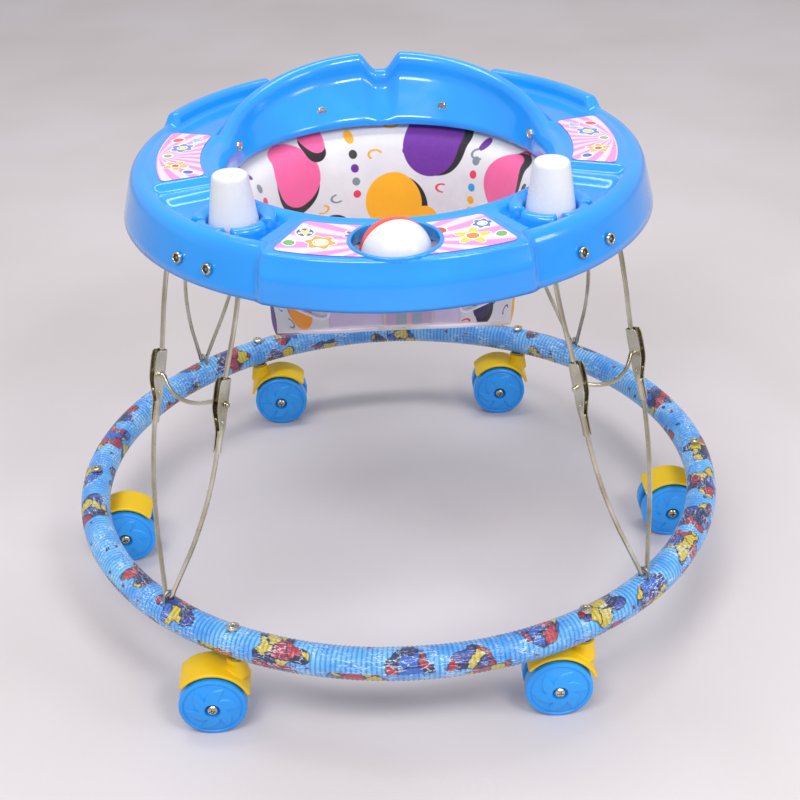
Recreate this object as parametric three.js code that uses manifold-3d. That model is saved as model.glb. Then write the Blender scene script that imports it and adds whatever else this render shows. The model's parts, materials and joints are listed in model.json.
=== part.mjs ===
// Baby walker: a sleeved steel base ring on six twin-wheel swivel casters, four folding
// wire legs, and a moulded play tray that carries a sling seat, a roller ball and two cones.
// Millimetres, +Z up, origin on the floor at the centre of the ring, front towards -Y.
import * as THREE from 'three';
import { mergeVertices } from 'three/addons/utils/BufferGeometryUtils.js';
import Module from 'manifold-3d';

const wasm = await Module();
wasm.setup();

// Base ring
const RING_RADIUS = 290;
const RING_HEIGHT = 84;
const TUBE_OUTER = 11;
const TUBE_INNER = 10;
const SLEEVE_OUTER = 14;
const SLEEVE_INNER = 12;
const RING_STEPS = 36;
const SEAM = 1;

// Casters
const CASTER_COUNT = 6;
const WHEEL_RADIUS = 28.5;
const WHEEL_HALF_WIDTH = 18;
const WHEEL_GAP = 5.2;
const HUB_RADIUS = 5;
const TRAIL = 22;
const FENDER_INNER = 30.6;
const FENDER_OUTER = 33.8;
const FENDER_HALF_WIDTH = 16;
const BOSS_RADIUS = 8.5;
const BOSS_TOP = 68;
const BOLT_RADIUS = 2.8;
const BOLT_HEAD = 5;
const AXLE_RADIUS = 2.1;

// Legs: pivots on the ring and under the tray, and the knee between them
const LEG_AZIMUTHS = { front_left: -134, front_right: -46, rear_right: 46, rear_left: 134 };
const WIRE_RADIUS = 2;
const RING_PIVOT_HEIGHT = 101;
const TRAY_PIVOT_RADIUS = 215;
const TRAY_PIVOT_HEIGHT = 381;
const LOWER_LEG = 187;
const KNEE_HALF_WIDTH = 38;
const BOW_RADIUS = 1.75;
const BOW_SAG = 9;
const RIVET_OFFSETS = [-17, 17];

// Tray
const TRAY_WALL = 2.4;
const SKIRT_BOTTOM = 370;
const SKIRT_RADIUS = 229;
const EDGE_RADIUS = 219;
const EDGE_HEIGHT = 410;
const DECK_HEIGHT = 407;
const PAD_HEIGHT = 412;
const POCKET_HEIGHT = 401;
const PANEL_HEIGHT = 409;
const RIM_RADIUS = 146;
const OPENING_RADIUS = 138;
const WALL_BOTTOM = 384;
const BACKREST_REACH = 76;
const BACKREST_RISE = 33;
const BACKREST_LEAN = 28;
const NOTCH_DEPTH = 17;
const WING_RISE = 9;
const PANEL_BULGE = 11;
const TRAY_STEPS = 40;

// Seat
const SEAT_FLOOR = 233;
const SEAT_FLOOR_SLOPE = 0.58;
const LEG_HOLE_RADIUS = 34;
const LEG_HOLE_PLACE = 50;

// Toys and stickers
const BALL_RADIUS = 28.5;
const BALL_PLACE = new THREE.Vector3(0, -188, 398);
const BALL_HOLE = 35;
const CONE_RADIUS = 20.5;
const CONE_TOP_RADIUS = 15;
const CONE_HEIGHT = 44;
const CONE_RING = 180;
const CONE_AZIMUTHS = { cone_left: -134, cone_right: -46 };
const STICKER_THICKNESS = 0.6;
const CLEARANCE = 0.3;

const finish = (color, roughness, metalness) => ({ color, roughness, metalness });
const SKY_PLASTIC = finish('#4aa6fa', 0.3, 0);
const WHEEL_PLASTIC = finish('#3f9fff', 0.4, 0);
const YELLOW_PLASTIC = finish('#e3c414', 0.45, 0);
const SLEEVE_PLASTIC = finish('#5aafee', 0.35, 0);
const NICKEL = finish('#b9b4a4', 0.3, 1);
const STEEL = finish('#9a9a98', 0.45, 1);
const WHITE_PLASTIC = finish('#f4f2ee', 0.35, 0);
const ORANGE_PLASTIC = finish('#f2632c', 0.35, 0);
const STICKER_FILM = finish('#f5bfe0', 0.5, 0);
const FABRIC = finish('#ece9ee', 0.9, 0);

const radians = THREE.MathUtils.degToRad;
const walker = new THREE.Group();

// ---------------------------------------------------------------- building blocks

/** A closed manifold solid from a three.js geometry. */
function solidOf(geometry) {
  const bare = geometry.index ? geometry.toNonIndexed() : geometry.clone();
  bare.deleteAttribute('normal');
  bare.deleteAttribute('uv');
  const merged = mergeVertices(bare, 1e-4);
  const corners = merged.index.array;
  const triangles = [];
  for (let i = 0; i < corners.length; i += 3) {
    const [a, b, c] = corners.slice(i, i + 3);
    if (a !== b && b !== c && c !== a) triangles.push(a, b, c);
  }
  return new wasm.Manifold(new wasm.Mesh({
    numProp: 3,
    vertProperties: new Float32Array(merged.attributes.position.array),
    triVerts: new Uint32Array(triangles),
  }));
}

/** The three.js geometry of a manifold solid. */
function geometryOf(solid) {
  const mesh = solid.getMesh();
  const geometry = new THREE.BufferGeometry();
  geometry.setAttribute('position', new THREE.BufferAttribute(mesh.vertProperties, 3));
  geometry.setIndex(new THREE.BufferAttribute(mesh.triVerts, 1));
  geometry.computeVertexNormals();
  return geometry;
}

/** A named mesh of a solid, added to a group. */
function addPiece(name, solid, look, group = walker) {
  const mesh = new THREE.Mesh(geometryOf(solid), new THREE.MeshStandardMaterial(look));
  mesh.name = name;
  group.add(mesh);
  return mesh;
}

/** A child group, turned about Z and standing at a place. */
function frameAt(azimuth, x = 0, z = 0, lean = 0, parent = walker) {
  const turned = new THREE.Group();
  turned.rotation.z = radians(azimuth);
  const placed = new THREE.Group();
  placed.position.set(x, 0, z);
  placed.rotation.y = lean;
  turned.add(placed);
  parent.add(turned);
  return placed;
}

function box(width, depth, height, x, y, z) {
  return solidOf(new THREE.BoxGeometry(width, depth, height).translate(x, y, z));
}

/** A cylinder along 'x', 'y' or 'z' with its centre at (x, y, z). */
function rod(radius, length, along, x, y, z, sides = 8) {
  const geometry = new THREE.CylinderGeometry(radius, radius, length, sides);
  if (along === 'z') geometry.rotateX(Math.PI / 2);
  if (along === 'x') geometry.rotateZ(Math.PI / 2);
  return solidOf(geometry.translate(x, y, z));
}

/** A turned solid about Z; the profile of [radius, height] pairs runs either way and closes. */
function turned(profile, sides) {
  const points = profile.map(([radius, height]) => new THREE.Vector2(radius, height));
  if (THREE.ShapeUtils.area(points) < 0) points.reverse();
  points.push(points[0].clone());
  return solidOf(new THREE.LatheGeometry(points, sides).rotateX(Math.PI / 2));
}

/** An outline in X and Z, given as [x, z] pairs, made into a plate between two Y values. */
function plate(outline, fromY, toY) {
  const shape = new THREE.Shape(outline.map(([x, z]) => new THREE.Vector2(x, z)));
  const options = { depth: toY - fromY, bevelEnabled: false };
  return solidOf(new THREE.ExtrudeGeometry(shape, options).rotateX(Math.PI / 2).translate(0, toY, 0));
}

/** A curve through its points that spends equal steps on each span between them. */
class WireCurve extends THREE.CatmullRomCurve3 {
  getUtoTmapping(u) {
    return u;
  }
}

/** A round wire bent along points, with flat ends. */
function wire(points, radius, steps) {
  const section = new THREE.Shape();
  section.absarc(0, 0, radius, 0, 2 * Math.PI);
  const path = new WireCurve(points, false, 'centripetal');
  const options = { steps, bevelEnabled: false, extrudePath: path, curveSegments: 3 };
  return solidOf(new THREE.ExtrudeGeometry(section, options));
}

function unite(solids) {
  return solids.reduce((whole, solid) => whole.add(solid));
}

function cut(solid, tools) {
  return tools.reduce((rest, tool) => rest.subtract(tool), solid);
}

/** 0 outside the range [low, high] and 1 inside it, with soft ends of the given width. */
function within(value, low, high, soft) {
  return THREE.MathUtils.smoothstep(value, low - soft, low + soft)
    * (1 - THREE.MathUtils.smoothstep(value, high - soft, high + soft));
}

// ---------------------------------------------------------------- base ring

const casterAngles = Array.from({ length: CASTER_COUNT }, (_, i) => -120 + i * 60);
const casterNames = ['front_left', 'front_right', 'right', 'rear_right', 'rear_left', 'left'];

function aroundRing(azimuth, solid) {
  return solid.rotate([0, 0, azimuth]);
}

function ringTube(radius, sides) {
  const geometry = new THREE.TorusGeometry(RING_RADIUS, radius, sides, RING_STEPS);
  return solidOf(geometry.translate(0, 0, RING_HEIGHT));
}

/** A hollow ring whose ends meet at a narrow seam at the rear. */
function hollowRing(outer, inner, sides) {
  const seam = box(SEAM, 4 * outer, 3 * outer, 0, RING_RADIUS, RING_HEIGHT);
  return cut(ringTube(outer, sides), [ringTube(inner, sides), seam]);
}

function boltHoles() {
  return casterAngles.map((azimuth) => aroundRing(
    azimuth, rod(BOLT_RADIUS + 0.6, 60, 'z', RING_RADIUS, 0, RING_HEIGHT, 6)));
}

/** The welded wire eye that a leg's bottom bend turns in. */
function ringEye() {
  const reach = 4.6;
  const foot = RING_HEIGHT + TUBE_OUTER - 1.5;
  const points = [new THREE.Vector3(RING_RADIUS + reach, 0, foot)];
  for (let turn = 0; turn <= 180; turn += 45) {
    points.push(new THREE.Vector3(
      RING_RADIUS + reach * Math.cos(radians(turn)), 0,
      RING_PIVOT_HEIGHT + reach * Math.sin(radians(turn))));
  }
  points.push(new THREE.Vector3(RING_RADIUS - reach, 0, foot));
  return wire(points, 1.5, 8);
}

function buildRing() {
  const eyes = Object.values(LEG_AZIMUTHS).map((azimuth) => aroundRing(azimuth, ringEye()));
  const tube = cut(hollowRing(TUBE_OUTER, TUBE_INNER, 6), boltHoles());
  addPiece('base_tube', unite([tube, ...eyes]), STEEL);
  const slots = Object.values(LEG_AZIMUTHS).map((azimuth) => aroundRing(
    azimuth, box(14, 4.4, 14, RING_RADIUS, 0, RING_HEIGHT + SLEEVE_OUTER)));
  const sleeve = cut(hollowRing(SLEEVE_OUTER, SLEEVE_INNER, 8), [...boltHoles(), ...slots]);
  addPiece('tube_sleeve', sleeve, SLEEVE_PLASTIC);
}

// ---------------------------------------------------------------- casters

/** The bolt that holds a caster: head on the ring, washer under it, nut in the housing. */
function casterBolt() {
  const top = RING_HEIGHT + SLEEVE_OUTER + CLEARANCE;
  const washer = RING_HEIGHT - SLEEVE_OUTER - CLEARANCE;
  return turned([
    [0, top + 3], [BOLT_HEAD - 1.5, top + 2.4], [BOLT_HEAD, top],
    [BOLT_RADIUS, top], [BOLT_RADIUS, washer], [6.5, washer], [6.5, washer - 1.2],
    [BOLT_RADIUS, washer - 1.2], [BOLT_RADIUS, 58.6], [4.6, 58.6], [4.6, 55], [0, 55],
  ], 6);
}

/** Yellow housing: a fender over the wheels, a stem boss and a web between the wheels. */
function casterHousing() {
  const fender = new THREE.Shape();
  fender.absarc(0, 0, FENDER_OUTER, radians(18), radians(142), false);
  fender.absarc(0, 0, FENDER_INNER, radians(142), radians(18), true);
  const options = { depth: 2 * FENDER_HALF_WIDTH, bevelEnabled: false, curveSegments: 5 };
  const hood = solidOf(new THREE.ExtrudeGeometry(fender, options)
    .rotateX(Math.PI / 2).translate(-TRAIL, FENDER_HALF_WIDTH, WHEEL_RADIUS));
  const bossBottom = WHEEL_RADIUS + 20;
  const boss = rod(BOSS_RADIUS, BOSS_TOP - bossBottom, 'z', 0, 0, (BOSS_TOP + bossBottom) / 2, 8)
    .subtract(rod(FENDER_INNER, 40, 'y', -TRAIL, 0, WHEEL_RADIUS, 24));
  const webTop = WHEEL_RADIUS + FENDER_INNER + 1;
  const web = plate([
    [-TRAIL - 9, WHEEL_RADIUS - 5], [-TRAIL + 9, WHEEL_RADIUS - 5], [-TRAIL + 14, WHEEL_RADIUS + 28],
    [-TRAIL, webTop], [-TRAIL - 9, webTop - 2],
  ], -WHEEL_GAP + 0.8, WHEEL_GAP - 0.8);
  const bore = rod(HUB_RADIUS + 0.8, 20, 'y', -TRAIL, 0, WHEEL_RADIUS, 8);
  const stemBore = rod(BOLT_RADIUS + 0.6, 40, 'z', 0, 0, BOSS_TOP, 6);
  const nutPocket = rod(5.6, 14, 'z', 0, 0, 52.4, 6);
  return cut(unite([hood, boss, web]), [bore, stemBore, nutPocket]);
}

/** Two domed wheels on one hub, turned about Y. */
function wheelPair() {
  const half = [
    [28.5, WHEEL_GAP], [28.5, WHEEL_HALF_WIDTH - 2], [25, WHEEL_HALF_WIDTH], [AXLE_RADIUS + 0.3, 21.5],
  ];
  const mirrored = half.map(([radius, y]) => [radius, -y]).reverse();
  const profile = [...mirrored, [HUB_RADIUS, -WHEEL_GAP], [HUB_RADIUS, WHEEL_GAP], ...half];
  return turned(profile, 16).rotate([90, 0, 0]).translate([-TRAIL, 0, WHEEL_RADIUS]);
}

function wheelAxle() {
  const end = 21.8;
  const profile = [
    [0, end + 1.8], [4.6, end + 0.9], [4.8, end], [AXLE_RADIUS, end],
    [AXLE_RADIUS, -end], [4.8, -end], [4.6, -end - 0.9], [0, -end - 1.8],
  ];
  return turned(profile, 8).rotate([90, 0, 0]).translate([-TRAIL, 0, WHEEL_RADIUS]);
}

/** A caster trails towards -X on the front and right of the ring, and towards +X on the rest. */
function buildCaster(name, azimuth) {
  const place = new THREE.Vector3(
    RING_RADIUS * Math.cos(radians(azimuth)), RING_RADIUS * Math.sin(radians(azimuth)), 0);
  const trailsRight = name === 'rear_left' || name === 'left';
  const group = new THREE.Group();
  group.position.copy(place);
  group.rotation.z = trailsRight ? Math.PI : 0;
  walker.add(group);
  addPiece(`caster_bolt_${name}`, casterBolt(), NICKEL, group);
  addPiece(`caster_housing_${name}`, casterHousing(), YELLOW_PLASTIC, group);
  addPiece(`caster_axle_${name}`, wheelAxle(), NICKEL, group);
  addPiece(`caster_wheels_${name}`, wheelPair(), WHEEL_PLASTIC, group);
}

// ---------------------------------------------------------------- folding legs

const legRun = TRAY_PIVOT_HEIGHT - RING_PIVOT_HEIGHT;
const legLean = Math.atan2(RING_RADIUS - TRAY_PIVOT_RADIUS, legRun);
const legLength = Math.hypot(RING_RADIUS - TRAY_PIVOT_RADIUS, legRun);

/** Points of a bent wire in the leg's plane, mirrored about its middle. */
function mirroredWire(half) {
  const right = half.map(([y, z]) => new THREE.Vector3(0, y, z));
  const left = half.filter(([y]) => y > 0).map(([y, z]) => new THREE.Vector3(0, -y, z)).reverse();
  return [...right, ...left];
}

/** The V of wire between the ring and the two knees. */
function lowerWire() {
  const w = KNEE_HALF_WIDTH;
  return wire(mirroredWire([
    [w, LOWER_LEG - 24], [w, LOWER_LEG - 46], [w - 4.5, 100], [24, 60], [12.5, 26],
    [6.5, 9], [4, 2], [0, 0],
  ]), WIRE_RADIUS, 22);
}

/** The U of wire between the knees and the tray, its two ends hooked outwards as knee pins. */
function upperWire() {
  const w = KNEE_HALF_WIDTH;
  const top = legLength;
  return wire(mirroredWire([
    [w + 6.4, LOWER_LEG], [w + 2.6, LOWER_LEG], [w + 0.4, LOWER_LEG + 1.6], [w, LOWER_LEG + 5],
    [w, LOWER_LEG + 22], [w + 3, LOWER_LEG + 60], [w + 3, top - 12], [w, top - 3.5], [w - 7, top], [0, top],
  ]), WIRE_RADIUS, 26);
}

/** Pressed knee bracket: a tube crimped on the lower wire that opens into a channel. */
function kneeBracket(side) {
  const inner = WIRE_RADIUS + 0.6;
  const outer = inner + 1;
  const bottom = LOWER_LEG - 42;
  const tubeTop = LOWER_LEG - 22;
  const top = LOWER_LEG + 21;
  const leaf = [
    [-outer, tubeTop - 3], [2, tubeTop - 3], [8, LOWER_LEG - 4], [8, top - 4], [6.5, top], [-outer, top],
  ];
  const bore = WIRE_RADIUS + 0.5;
  const sleeve = turned([
    [bore, bottom], [outer + 0.3, bottom], [outer + 0.3, tubeTop], [bore, tubeTop],
  ], 6);
  const web = box(1, 2 * outer, top - tubeTop + 3, -outer + 0.5, 0, (top + tubeTop - 3) / 2);
  const flanges = [plate(leaf, inner, outer), plate(leaf, -outer, -inner)];
  const stop = rod(1.3, 2 * outer - 1, 'y', 1, 0, LOWER_LEG - 15, 5);
  const pinHole = rod(WIRE_RADIUS + 0.6, 2, 'y', 0, side * outer, LOWER_LEG, 6);
  const bowHole = rod(BOW_RADIUS + 0.6, 2, 'y', 0, -side * outer, LOWER_LEG, 6);
  const bracket = cut(unite([sleeve, web, ...flanges, stop]), [pinHole, bowHole]);
  return bracket.translate([0, side * KNEE_HALF_WIDTH, 0]);
}

/** The bowed wire that keeps the two knees of a leg apart. */
function kneeBow() {
  const tip = KNEE_HALF_WIDTH - WIRE_RADIUS - 0.5;
  const spread = tip - 4;
  const half = [tip, spread, 0.85 * spread, 0.6 * spread, 0.3 * spread, 0];
  const points = (sign) => half.map((y) => {
    const sag = y > spread ? 0 : BOW_SAG * (1 - (y / spread) ** 2);
    return new THREE.Vector3(0.8 * sag, sign * y, LOWER_LEG - sag);
  });
  return wire([...points(1), ...points(-1).reverse().slice(1)], BOW_RADIUS, 10);
}

function buildLeg(name, azimuth) {
  const leg = frameAt(azimuth, RING_RADIUS, RING_PIVOT_HEIGHT, -legLean);
  addPiece(`lower_wire_${name}`, lowerWire(), NICKEL, leg);
  addPiece(`knee_bracket_a_${name}`, kneeBracket(1), NICKEL, leg);
  addPiece(`knee_bracket_b_${name}`, kneeBracket(-1), NICKEL, leg);
  addPiece(`knee_bow_${name}`, kneeBow(), NICKEL, leg);
  addPiece(`upper_wire_${name}`, upperWire(), NICKEL, leg);
}

// ---------------------------------------------------------------- tray

const skirtSlope = Math.atan2(SKIRT_RADIUS - EDGE_RADIUS, EDGE_HEIGHT - SKIRT_BOTTOM);

/** How far an azimuth is round from the front, the sides or the back, in whole degrees. */
function awayFrom(azimuth, middle) {
  return Math.abs(((azimuth - middle + 540) % 360) - 180);
}

/** The outside of the tray at one azimuth, from the skirt's foot over the deck to the opening. */
function traySection(azimuth) {
  const front = 1 - THREE.MathUtils.smoothstep(awayFrom(azimuth, -90), 26, 29);
  const fromSide = Math.min(awayFrom(azimuth, 0), awayFrom(azimuth, 180));
  const fromBack = awayFrom(azimuth, 90);
  const pad = 1 - THREE.MathUtils.smoothstep(fromSide, 17, 22);
  const pocket = within(awayFrom(azimuth, -90), 33, 64, 3);
  const wing = within(fromBack, 30, 64, 3);
  const back = (0.5 + 0.5 * Math.cos(Math.PI * Math.min(1, fromBack / BACKREST_REACH))) ** 0.55;
  const notch = 1 - THREE.MathUtils.smoothstep(fromBack, 1.5, 7);

  const edge = EDGE_RADIUS + PANEL_BULGE * front;
  const edgeHeight = EDGE_HEIGHT + WING_RISE * wing - 2 * front;
  const deck = DECK_HEIGHT + (PAD_HEIGHT - DECK_HEIGHT) * pad
    + (POCKET_HEIGHT - DECK_HEIGHT) * pocket + (PANEL_HEIGHT - DECK_HEIGHT) * front;
  const crest = RIM_RADIUS + BACKREST_LEAN * back;
  const crestHeight = EDGE_HEIGHT + BACKREST_RISE * back - NOTCH_DEPTH * notch;
  const deckOuter = edge - 17 + 8 * front;
  const deckInner = Math.min(crest + 12, deckOuter - 12);
  const across = (t) => deckOuter + (deckInner - deckOuter) * t;
  return [
    [SKIRT_RADIUS + 3 * front, SKIRT_BOTTOM],
    [edge + 1.5, EDGE_HEIGHT - 6 - 6 * front],
    [edge - 2, edgeHeight - 1],
    [edge - 7 + 3 * front, edgeHeight + 1],
    [edge - 13 + 7 * front, edgeHeight],
    [deckOuter, deck],
    [across(0.5), deck],
    [deckInner, deck],
    [crest + 7, crestHeight - 1.5],
    [crest, crestHeight],
    [crest - 5, crestHeight - 5],
    [OPENING_RADIUS, WALL_BOTTOM],
  ];
}

/** The same section moved inwards by the wall thickness, in reverse order. */
function insetSection(section) {
  const last = section.length - 1;
  const inset = section.map(([radius, height], i) => {
    const [r0, z0] = section[Math.max(i - 1, 0)];
    const [r1, z1] = section[Math.min(i + 1, last)];
    const length = Math.hypot(r1 - r0, z1 - z0);
    const endFlat = i === 0 || i === last;
    const drop = endFlat ? 0 : TRAY_WALL * (r1 - r0) / length;
    return [radius - TRAY_WALL * (z1 - z0) / length, height + drop];
  });
  return inset.reverse();
}

/** A closed solid lofted round Z through one closed section per azimuth. */
function loftAround(azimuths, sectionAt) {
  const positions = [];
  const sections = azimuths.map((azimuth) => sectionAt(azimuth).map(([radius, height]) => [
    radius * Math.cos(radians(azimuth)), radius * Math.sin(radians(azimuth)), height]));
  sections.forEach((section, i) => {
    const next = sections[(i + 1) % sections.length];
    section.forEach((point, j) => {
      const k = (j + 1) % section.length;
      positions.push(...point, ...next[j], ...next[k], ...point, ...next[k], ...section[k]);
    });
  });
  const geometry = new THREE.BufferGeometry();
  geometry.setAttribute('position', new THREE.Float32BufferAttribute(positions, 3));
  return solidOf(geometry);
}

/** Five moulded petals round a cone. */
function petalCollar() {
  const inner = CONE_RADIUS + 1.5;
  const outer = inner + 10;
  const collar = turned([
    [inner, POCKET_HEIGHT - 1], [outer, POCKET_HEIGHT - 1], [outer - 1, POCKET_HEIGHT + 5],
    [outer - 4, POCKET_HEIGHT + 8], [inner, POCKET_HEIGHT + 6],
  ], 15);
  const gaps = Array.from({ length: 5 }, (_, i) => box(
    12, 4, 12, (inner + outer) / 2, 0, POCKET_HEIGHT + 8).rotate([0, 0, 72 * i]));
  return cut(collar, gaps);
}

function conePlace(azimuth, solid) {
  return aroundRing(azimuth, solid.translate([CONE_RING, 0, 0]));
}

/** Two ears under the deck that hold the ball's pins. */
function ballEars() {
  const { y, z } = BALL_PLACE;
  const reach = BALL_HOLE + 3;
  return [-1, 1].map((side) => box(2.4, 14, 14, side * reach, y, z + 3));
}

/** A solid given in a leg clip's frame, moved to the clip's place on the skirt. */
function clipPlace(azimuth, solid) {
  const leaned = solid.rotate([0, -THREE.MathUtils.radToDeg(skirtSlope), 0]);
  return aroundRing(azimuth, leaned.translate([TRAY_PIVOT_RADIUS, 0, TRAY_PIVOT_HEIGHT]));
}

function buildTray() {
  const azimuths = Array.from({ length: TRAY_STEPS }, (_, i) => i * 360 / TRAY_STEPS - 180);
  const shell = loftAround(azimuths, (azimuth) => {
    const outside = traySection(azimuth);
    return [...outside, ...insetSection(outside)];
  });
  const collars = Object.values(CONE_AZIMUTHS).map((azimuth) => conePlace(azimuth, petalCollar()));
  const { x, y, z } = BALL_PLACE;
  const ballHole = rod(BALL_HOLE, 60, 'z', x, y, z + 15, 20);
  const pinHoles = rod(2.4, 90, 'x', x, y, z);
  const pegHoles = Object.values(CONE_AZIMUTHS).map((azimuth) => conePlace(
    azimuth, rod(3.5, 20, 'z', 0, 0, POCKET_HEIGHT)));
  const rivetHoles = Object.values(LEG_AZIMUTHS).flatMap((azimuth) => RIVET_OFFSETS.map(
    (offset) => clipPlace(azimuth, rod(2.6, 16, 'x', 8, offset, 2, 6))));
  const moulding = cut(unite([shell, ...collars]), [ballHole, ...pegHoles, ...rivetHoles]);
  addPiece('play_tray', cut(unite([moulding, ...ballEars()]), [pinHoles]), SKY_PLASTIC);
}

/** Steel clip inside the skirt: plate, saddle round the upper wire, two rivets through the skirt. */
function buildLegClip(name, azimuth) {
  const inside = 5.6;
  const reach = 6.6;
  const back = box(1, 46, 13, inside + 0.5, 0, 2);
  const saddle = plate([
    [inside + 0.5, 6], [-reach - 1, 6], [-reach - 1, -6], [inside + 0.5, -6],
    [inside + 0.5, -5], [-reach, -5], [-reach, 5], [inside + 0.5, 5],
  ], -9, 9);
  const rivets = RIVET_OFFSETS.flatMap((offset) => [
    rod(2, 7, 'x', inside + 4, offset, 2, 6),
    rod(4.5, 1.6, 'x', inside + 6.5, offset, 2),
  ]);
  const frame = frameAt(azimuth, TRAY_PIVOT_RADIUS, TRAY_PIVOT_HEIGHT, -skirtSlope);
  addPiece(`leg_clip_${name}`, unite([back, saddle, ...rivets]), NICKEL, frame);
}

/** A thin sheet between two radii and two azimuths. */
function sector(innerRadius, outerRadius, fromAzimuth, toAzimuth, bottom) {
  const shape = new THREE.Shape();
  shape.absarc(0, 0, outerRadius, radians(fromAzimuth), radians(toAzimuth), false);
  shape.absarc(0, 0, innerRadius, radians(toAzimuth), radians(fromAzimuth), true);
  const options = { depth: STICKER_THICKNESS, bevelEnabled: false, curveSegments: 6 };
  return solidOf(new THREE.ExtrudeGeometry(shape, options).translate(0, 0, bottom));
}

function buildStickers() {
  const onPad = PAD_HEIGHT + CLEARANCE;
  addPiece('sticker_right', sector(160, 197, -17, 17, onPad), STICKER_FILM);
  addPiece('sticker_left', sector(160, 197, 163, 197, onPad), STICKER_FILM);
  const { x, y } = BALL_PLACE;
  const hole = rod(BALL_HOLE + 2, 60, 'z', x, y, PANEL_HEIGHT, 20);
  const onPanel = PANEL_HEIGHT + CLEARANCE;
  const left = sector(160, 218, -115, -90, onPanel);
  const right = sector(160, 218, -90, -65, onPanel);
  addPiece('sticker_front_left', cut(left, [hole]), STICKER_FILM);
  addPiece('sticker_front_right', cut(right, [hole]), STICKER_FILM);
}

// ---------------------------------------------------------------- toys

/** Half of the roller ball: a shell cut on a plane through its axle. */
function ballHalf(side) {
  const shell = solidOf(new THREE.SphereGeometry(BALL_RADIUS, 16, 12))
    .subtract(solidOf(new THREE.SphereGeometry(BALL_RADIUS - 2, 12, 8)));
  const otherHalf = box(70, 70, 70, 0, side * (35 - CLEARANCE / 2), 0);
  return cut(shell, [otherHalf]);
}

function buildBall() {
  const tilt = -20;
  const place = [BALL_PLACE.x, BALL_PLACE.y, BALL_PLACE.z];
  const pinBore = rod(2.5, 70, 'x', 0, 0, 0);
  const pins = [-1, 1].map((side) => rod(2, 14, 'x', side * (BALL_RADIUS + 5.5), 0, 0));
  const strut = box(2 * BALL_RADIUS, 6, 3, 0, 4, 0);
  const white = cut(ballHalf(1), [pinBore]);
  const orange = unite([ballHalf(-1), strut, ...pins]);
  addPiece('ball_half_front', white.rotate([tilt, 0, 0]).translate(place), WHITE_PLASTIC);
  addPiece('ball_half_rear', orange.rotate([tilt, 0, 0]).translate(place), ORANGE_PLASTIC);
}

/** Hollow cone with a centre peg that turns in the deck and snaps in below it. */
function buildCone(name, azimuth) {
  const bottom = POCKET_HEIGHT + 0.6;
  const top = bottom + CONE_HEIGHT;
  const under = POCKET_HEIGHT - TRAY_WALL - 0.6;
  const cone = turned([
    [0, top], [CONE_TOP_RADIUS - 4, top - 0.6], [CONE_TOP_RADIUS, top - 4], [CONE_RADIUS, bottom],
    [CONE_RADIUS - 2, bottom], [CONE_TOP_RADIUS - 3, top - 5], [3, top - 5], [3, under],
    [4.6, under], [3.5, under - 3], [0, under - 3],
  ], 14);
  addPiece(name, conePlace(azimuth, cone), WHITE_PLASTIC);
}

// ---------------------------------------------------------------- seat

/** A turned solid whose bottom is trimmed to a floor that climbs towards the front. */
function seatBody(profile, floor) {
  return turned(profile, 24).trimByPlane([0, SEAT_FLOOR_SLOPE, 1], floor / Math.hypot(SEAT_FLOOR_SLOPE, 1));
}

/** Sling seat: a collar behind the tray's inner wall, a bucket below it, two leg holes. */
function buildSeat() {
  const outside = seatBody([
    [0, 388], [150, 388], [150, 380], [135, 374], [119, 350], [115, 300],
    [113, SEAT_FLOOR + 19], [104, SEAT_FLOOR + 3], [0, SEAT_FLOOR],
  ], SEAT_FLOOR);
  const inside = seatBody([
    [0, 389], [147.4, 389], [147.4, 382.6], [131, 377], [116, 350], [112, 300],
    [110, SEAT_FLOOR + 21], [101, SEAT_FLOOR + 6], [0, SEAT_FLOOR + 3],
  ], SEAT_FLOOR + 3.5);
  const legHoles = [-1, 1].map((side) => rod(
    LEG_HOLE_RADIUS, 90, 'z', side * LEG_HOLE_PLACE, -LEG_HOLE_PLACE, SEAT_FLOOR + 20, 16));
  addPiece('sling_seat', cut(outside, [inside, ...legHoles]), FABRIC);
}

buildRing();
casterAngles.forEach((azimuth, i) => buildCaster(casterNames[i], azimuth));
Object.entries(LEG_AZIMUTHS).forEach(([name, azimuth]) => buildLeg(name, azimuth));
buildTray();
Object.entries(LEG_AZIMUTHS).forEach(([name, azimuth]) => buildLegClip(name, azimuth));
buildStickers();
buildBall();
Object.entries(CONE_AZIMUTHS).forEach(([name, azimuth]) => buildCone(name, azimuth));
buildSeat();

export default walker;
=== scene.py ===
import json
import math

import bmesh
import bpy
import numpy as np
from mathutils import Matrix, Vector


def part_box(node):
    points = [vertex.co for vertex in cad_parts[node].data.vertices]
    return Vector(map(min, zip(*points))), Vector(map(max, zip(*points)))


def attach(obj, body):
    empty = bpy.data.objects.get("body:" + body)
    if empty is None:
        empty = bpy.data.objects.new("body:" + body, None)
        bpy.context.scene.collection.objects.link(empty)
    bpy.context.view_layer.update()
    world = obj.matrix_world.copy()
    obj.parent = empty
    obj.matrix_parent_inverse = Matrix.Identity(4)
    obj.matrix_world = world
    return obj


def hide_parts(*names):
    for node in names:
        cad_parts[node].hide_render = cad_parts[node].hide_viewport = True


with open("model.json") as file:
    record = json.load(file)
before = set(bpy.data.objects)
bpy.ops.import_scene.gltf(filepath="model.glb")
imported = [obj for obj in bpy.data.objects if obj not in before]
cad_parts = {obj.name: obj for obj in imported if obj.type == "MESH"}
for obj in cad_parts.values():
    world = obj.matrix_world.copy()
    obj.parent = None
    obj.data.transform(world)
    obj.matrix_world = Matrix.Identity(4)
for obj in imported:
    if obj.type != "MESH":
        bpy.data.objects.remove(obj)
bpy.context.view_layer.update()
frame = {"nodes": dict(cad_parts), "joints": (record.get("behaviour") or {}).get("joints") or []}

MM = 0.001
CASTERS = ("front_left", "front_right", "right", "rear_right", "rear_left", "left")
LEGS = ("front_left", "front_right", "rear_right", "rear_left")


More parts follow.
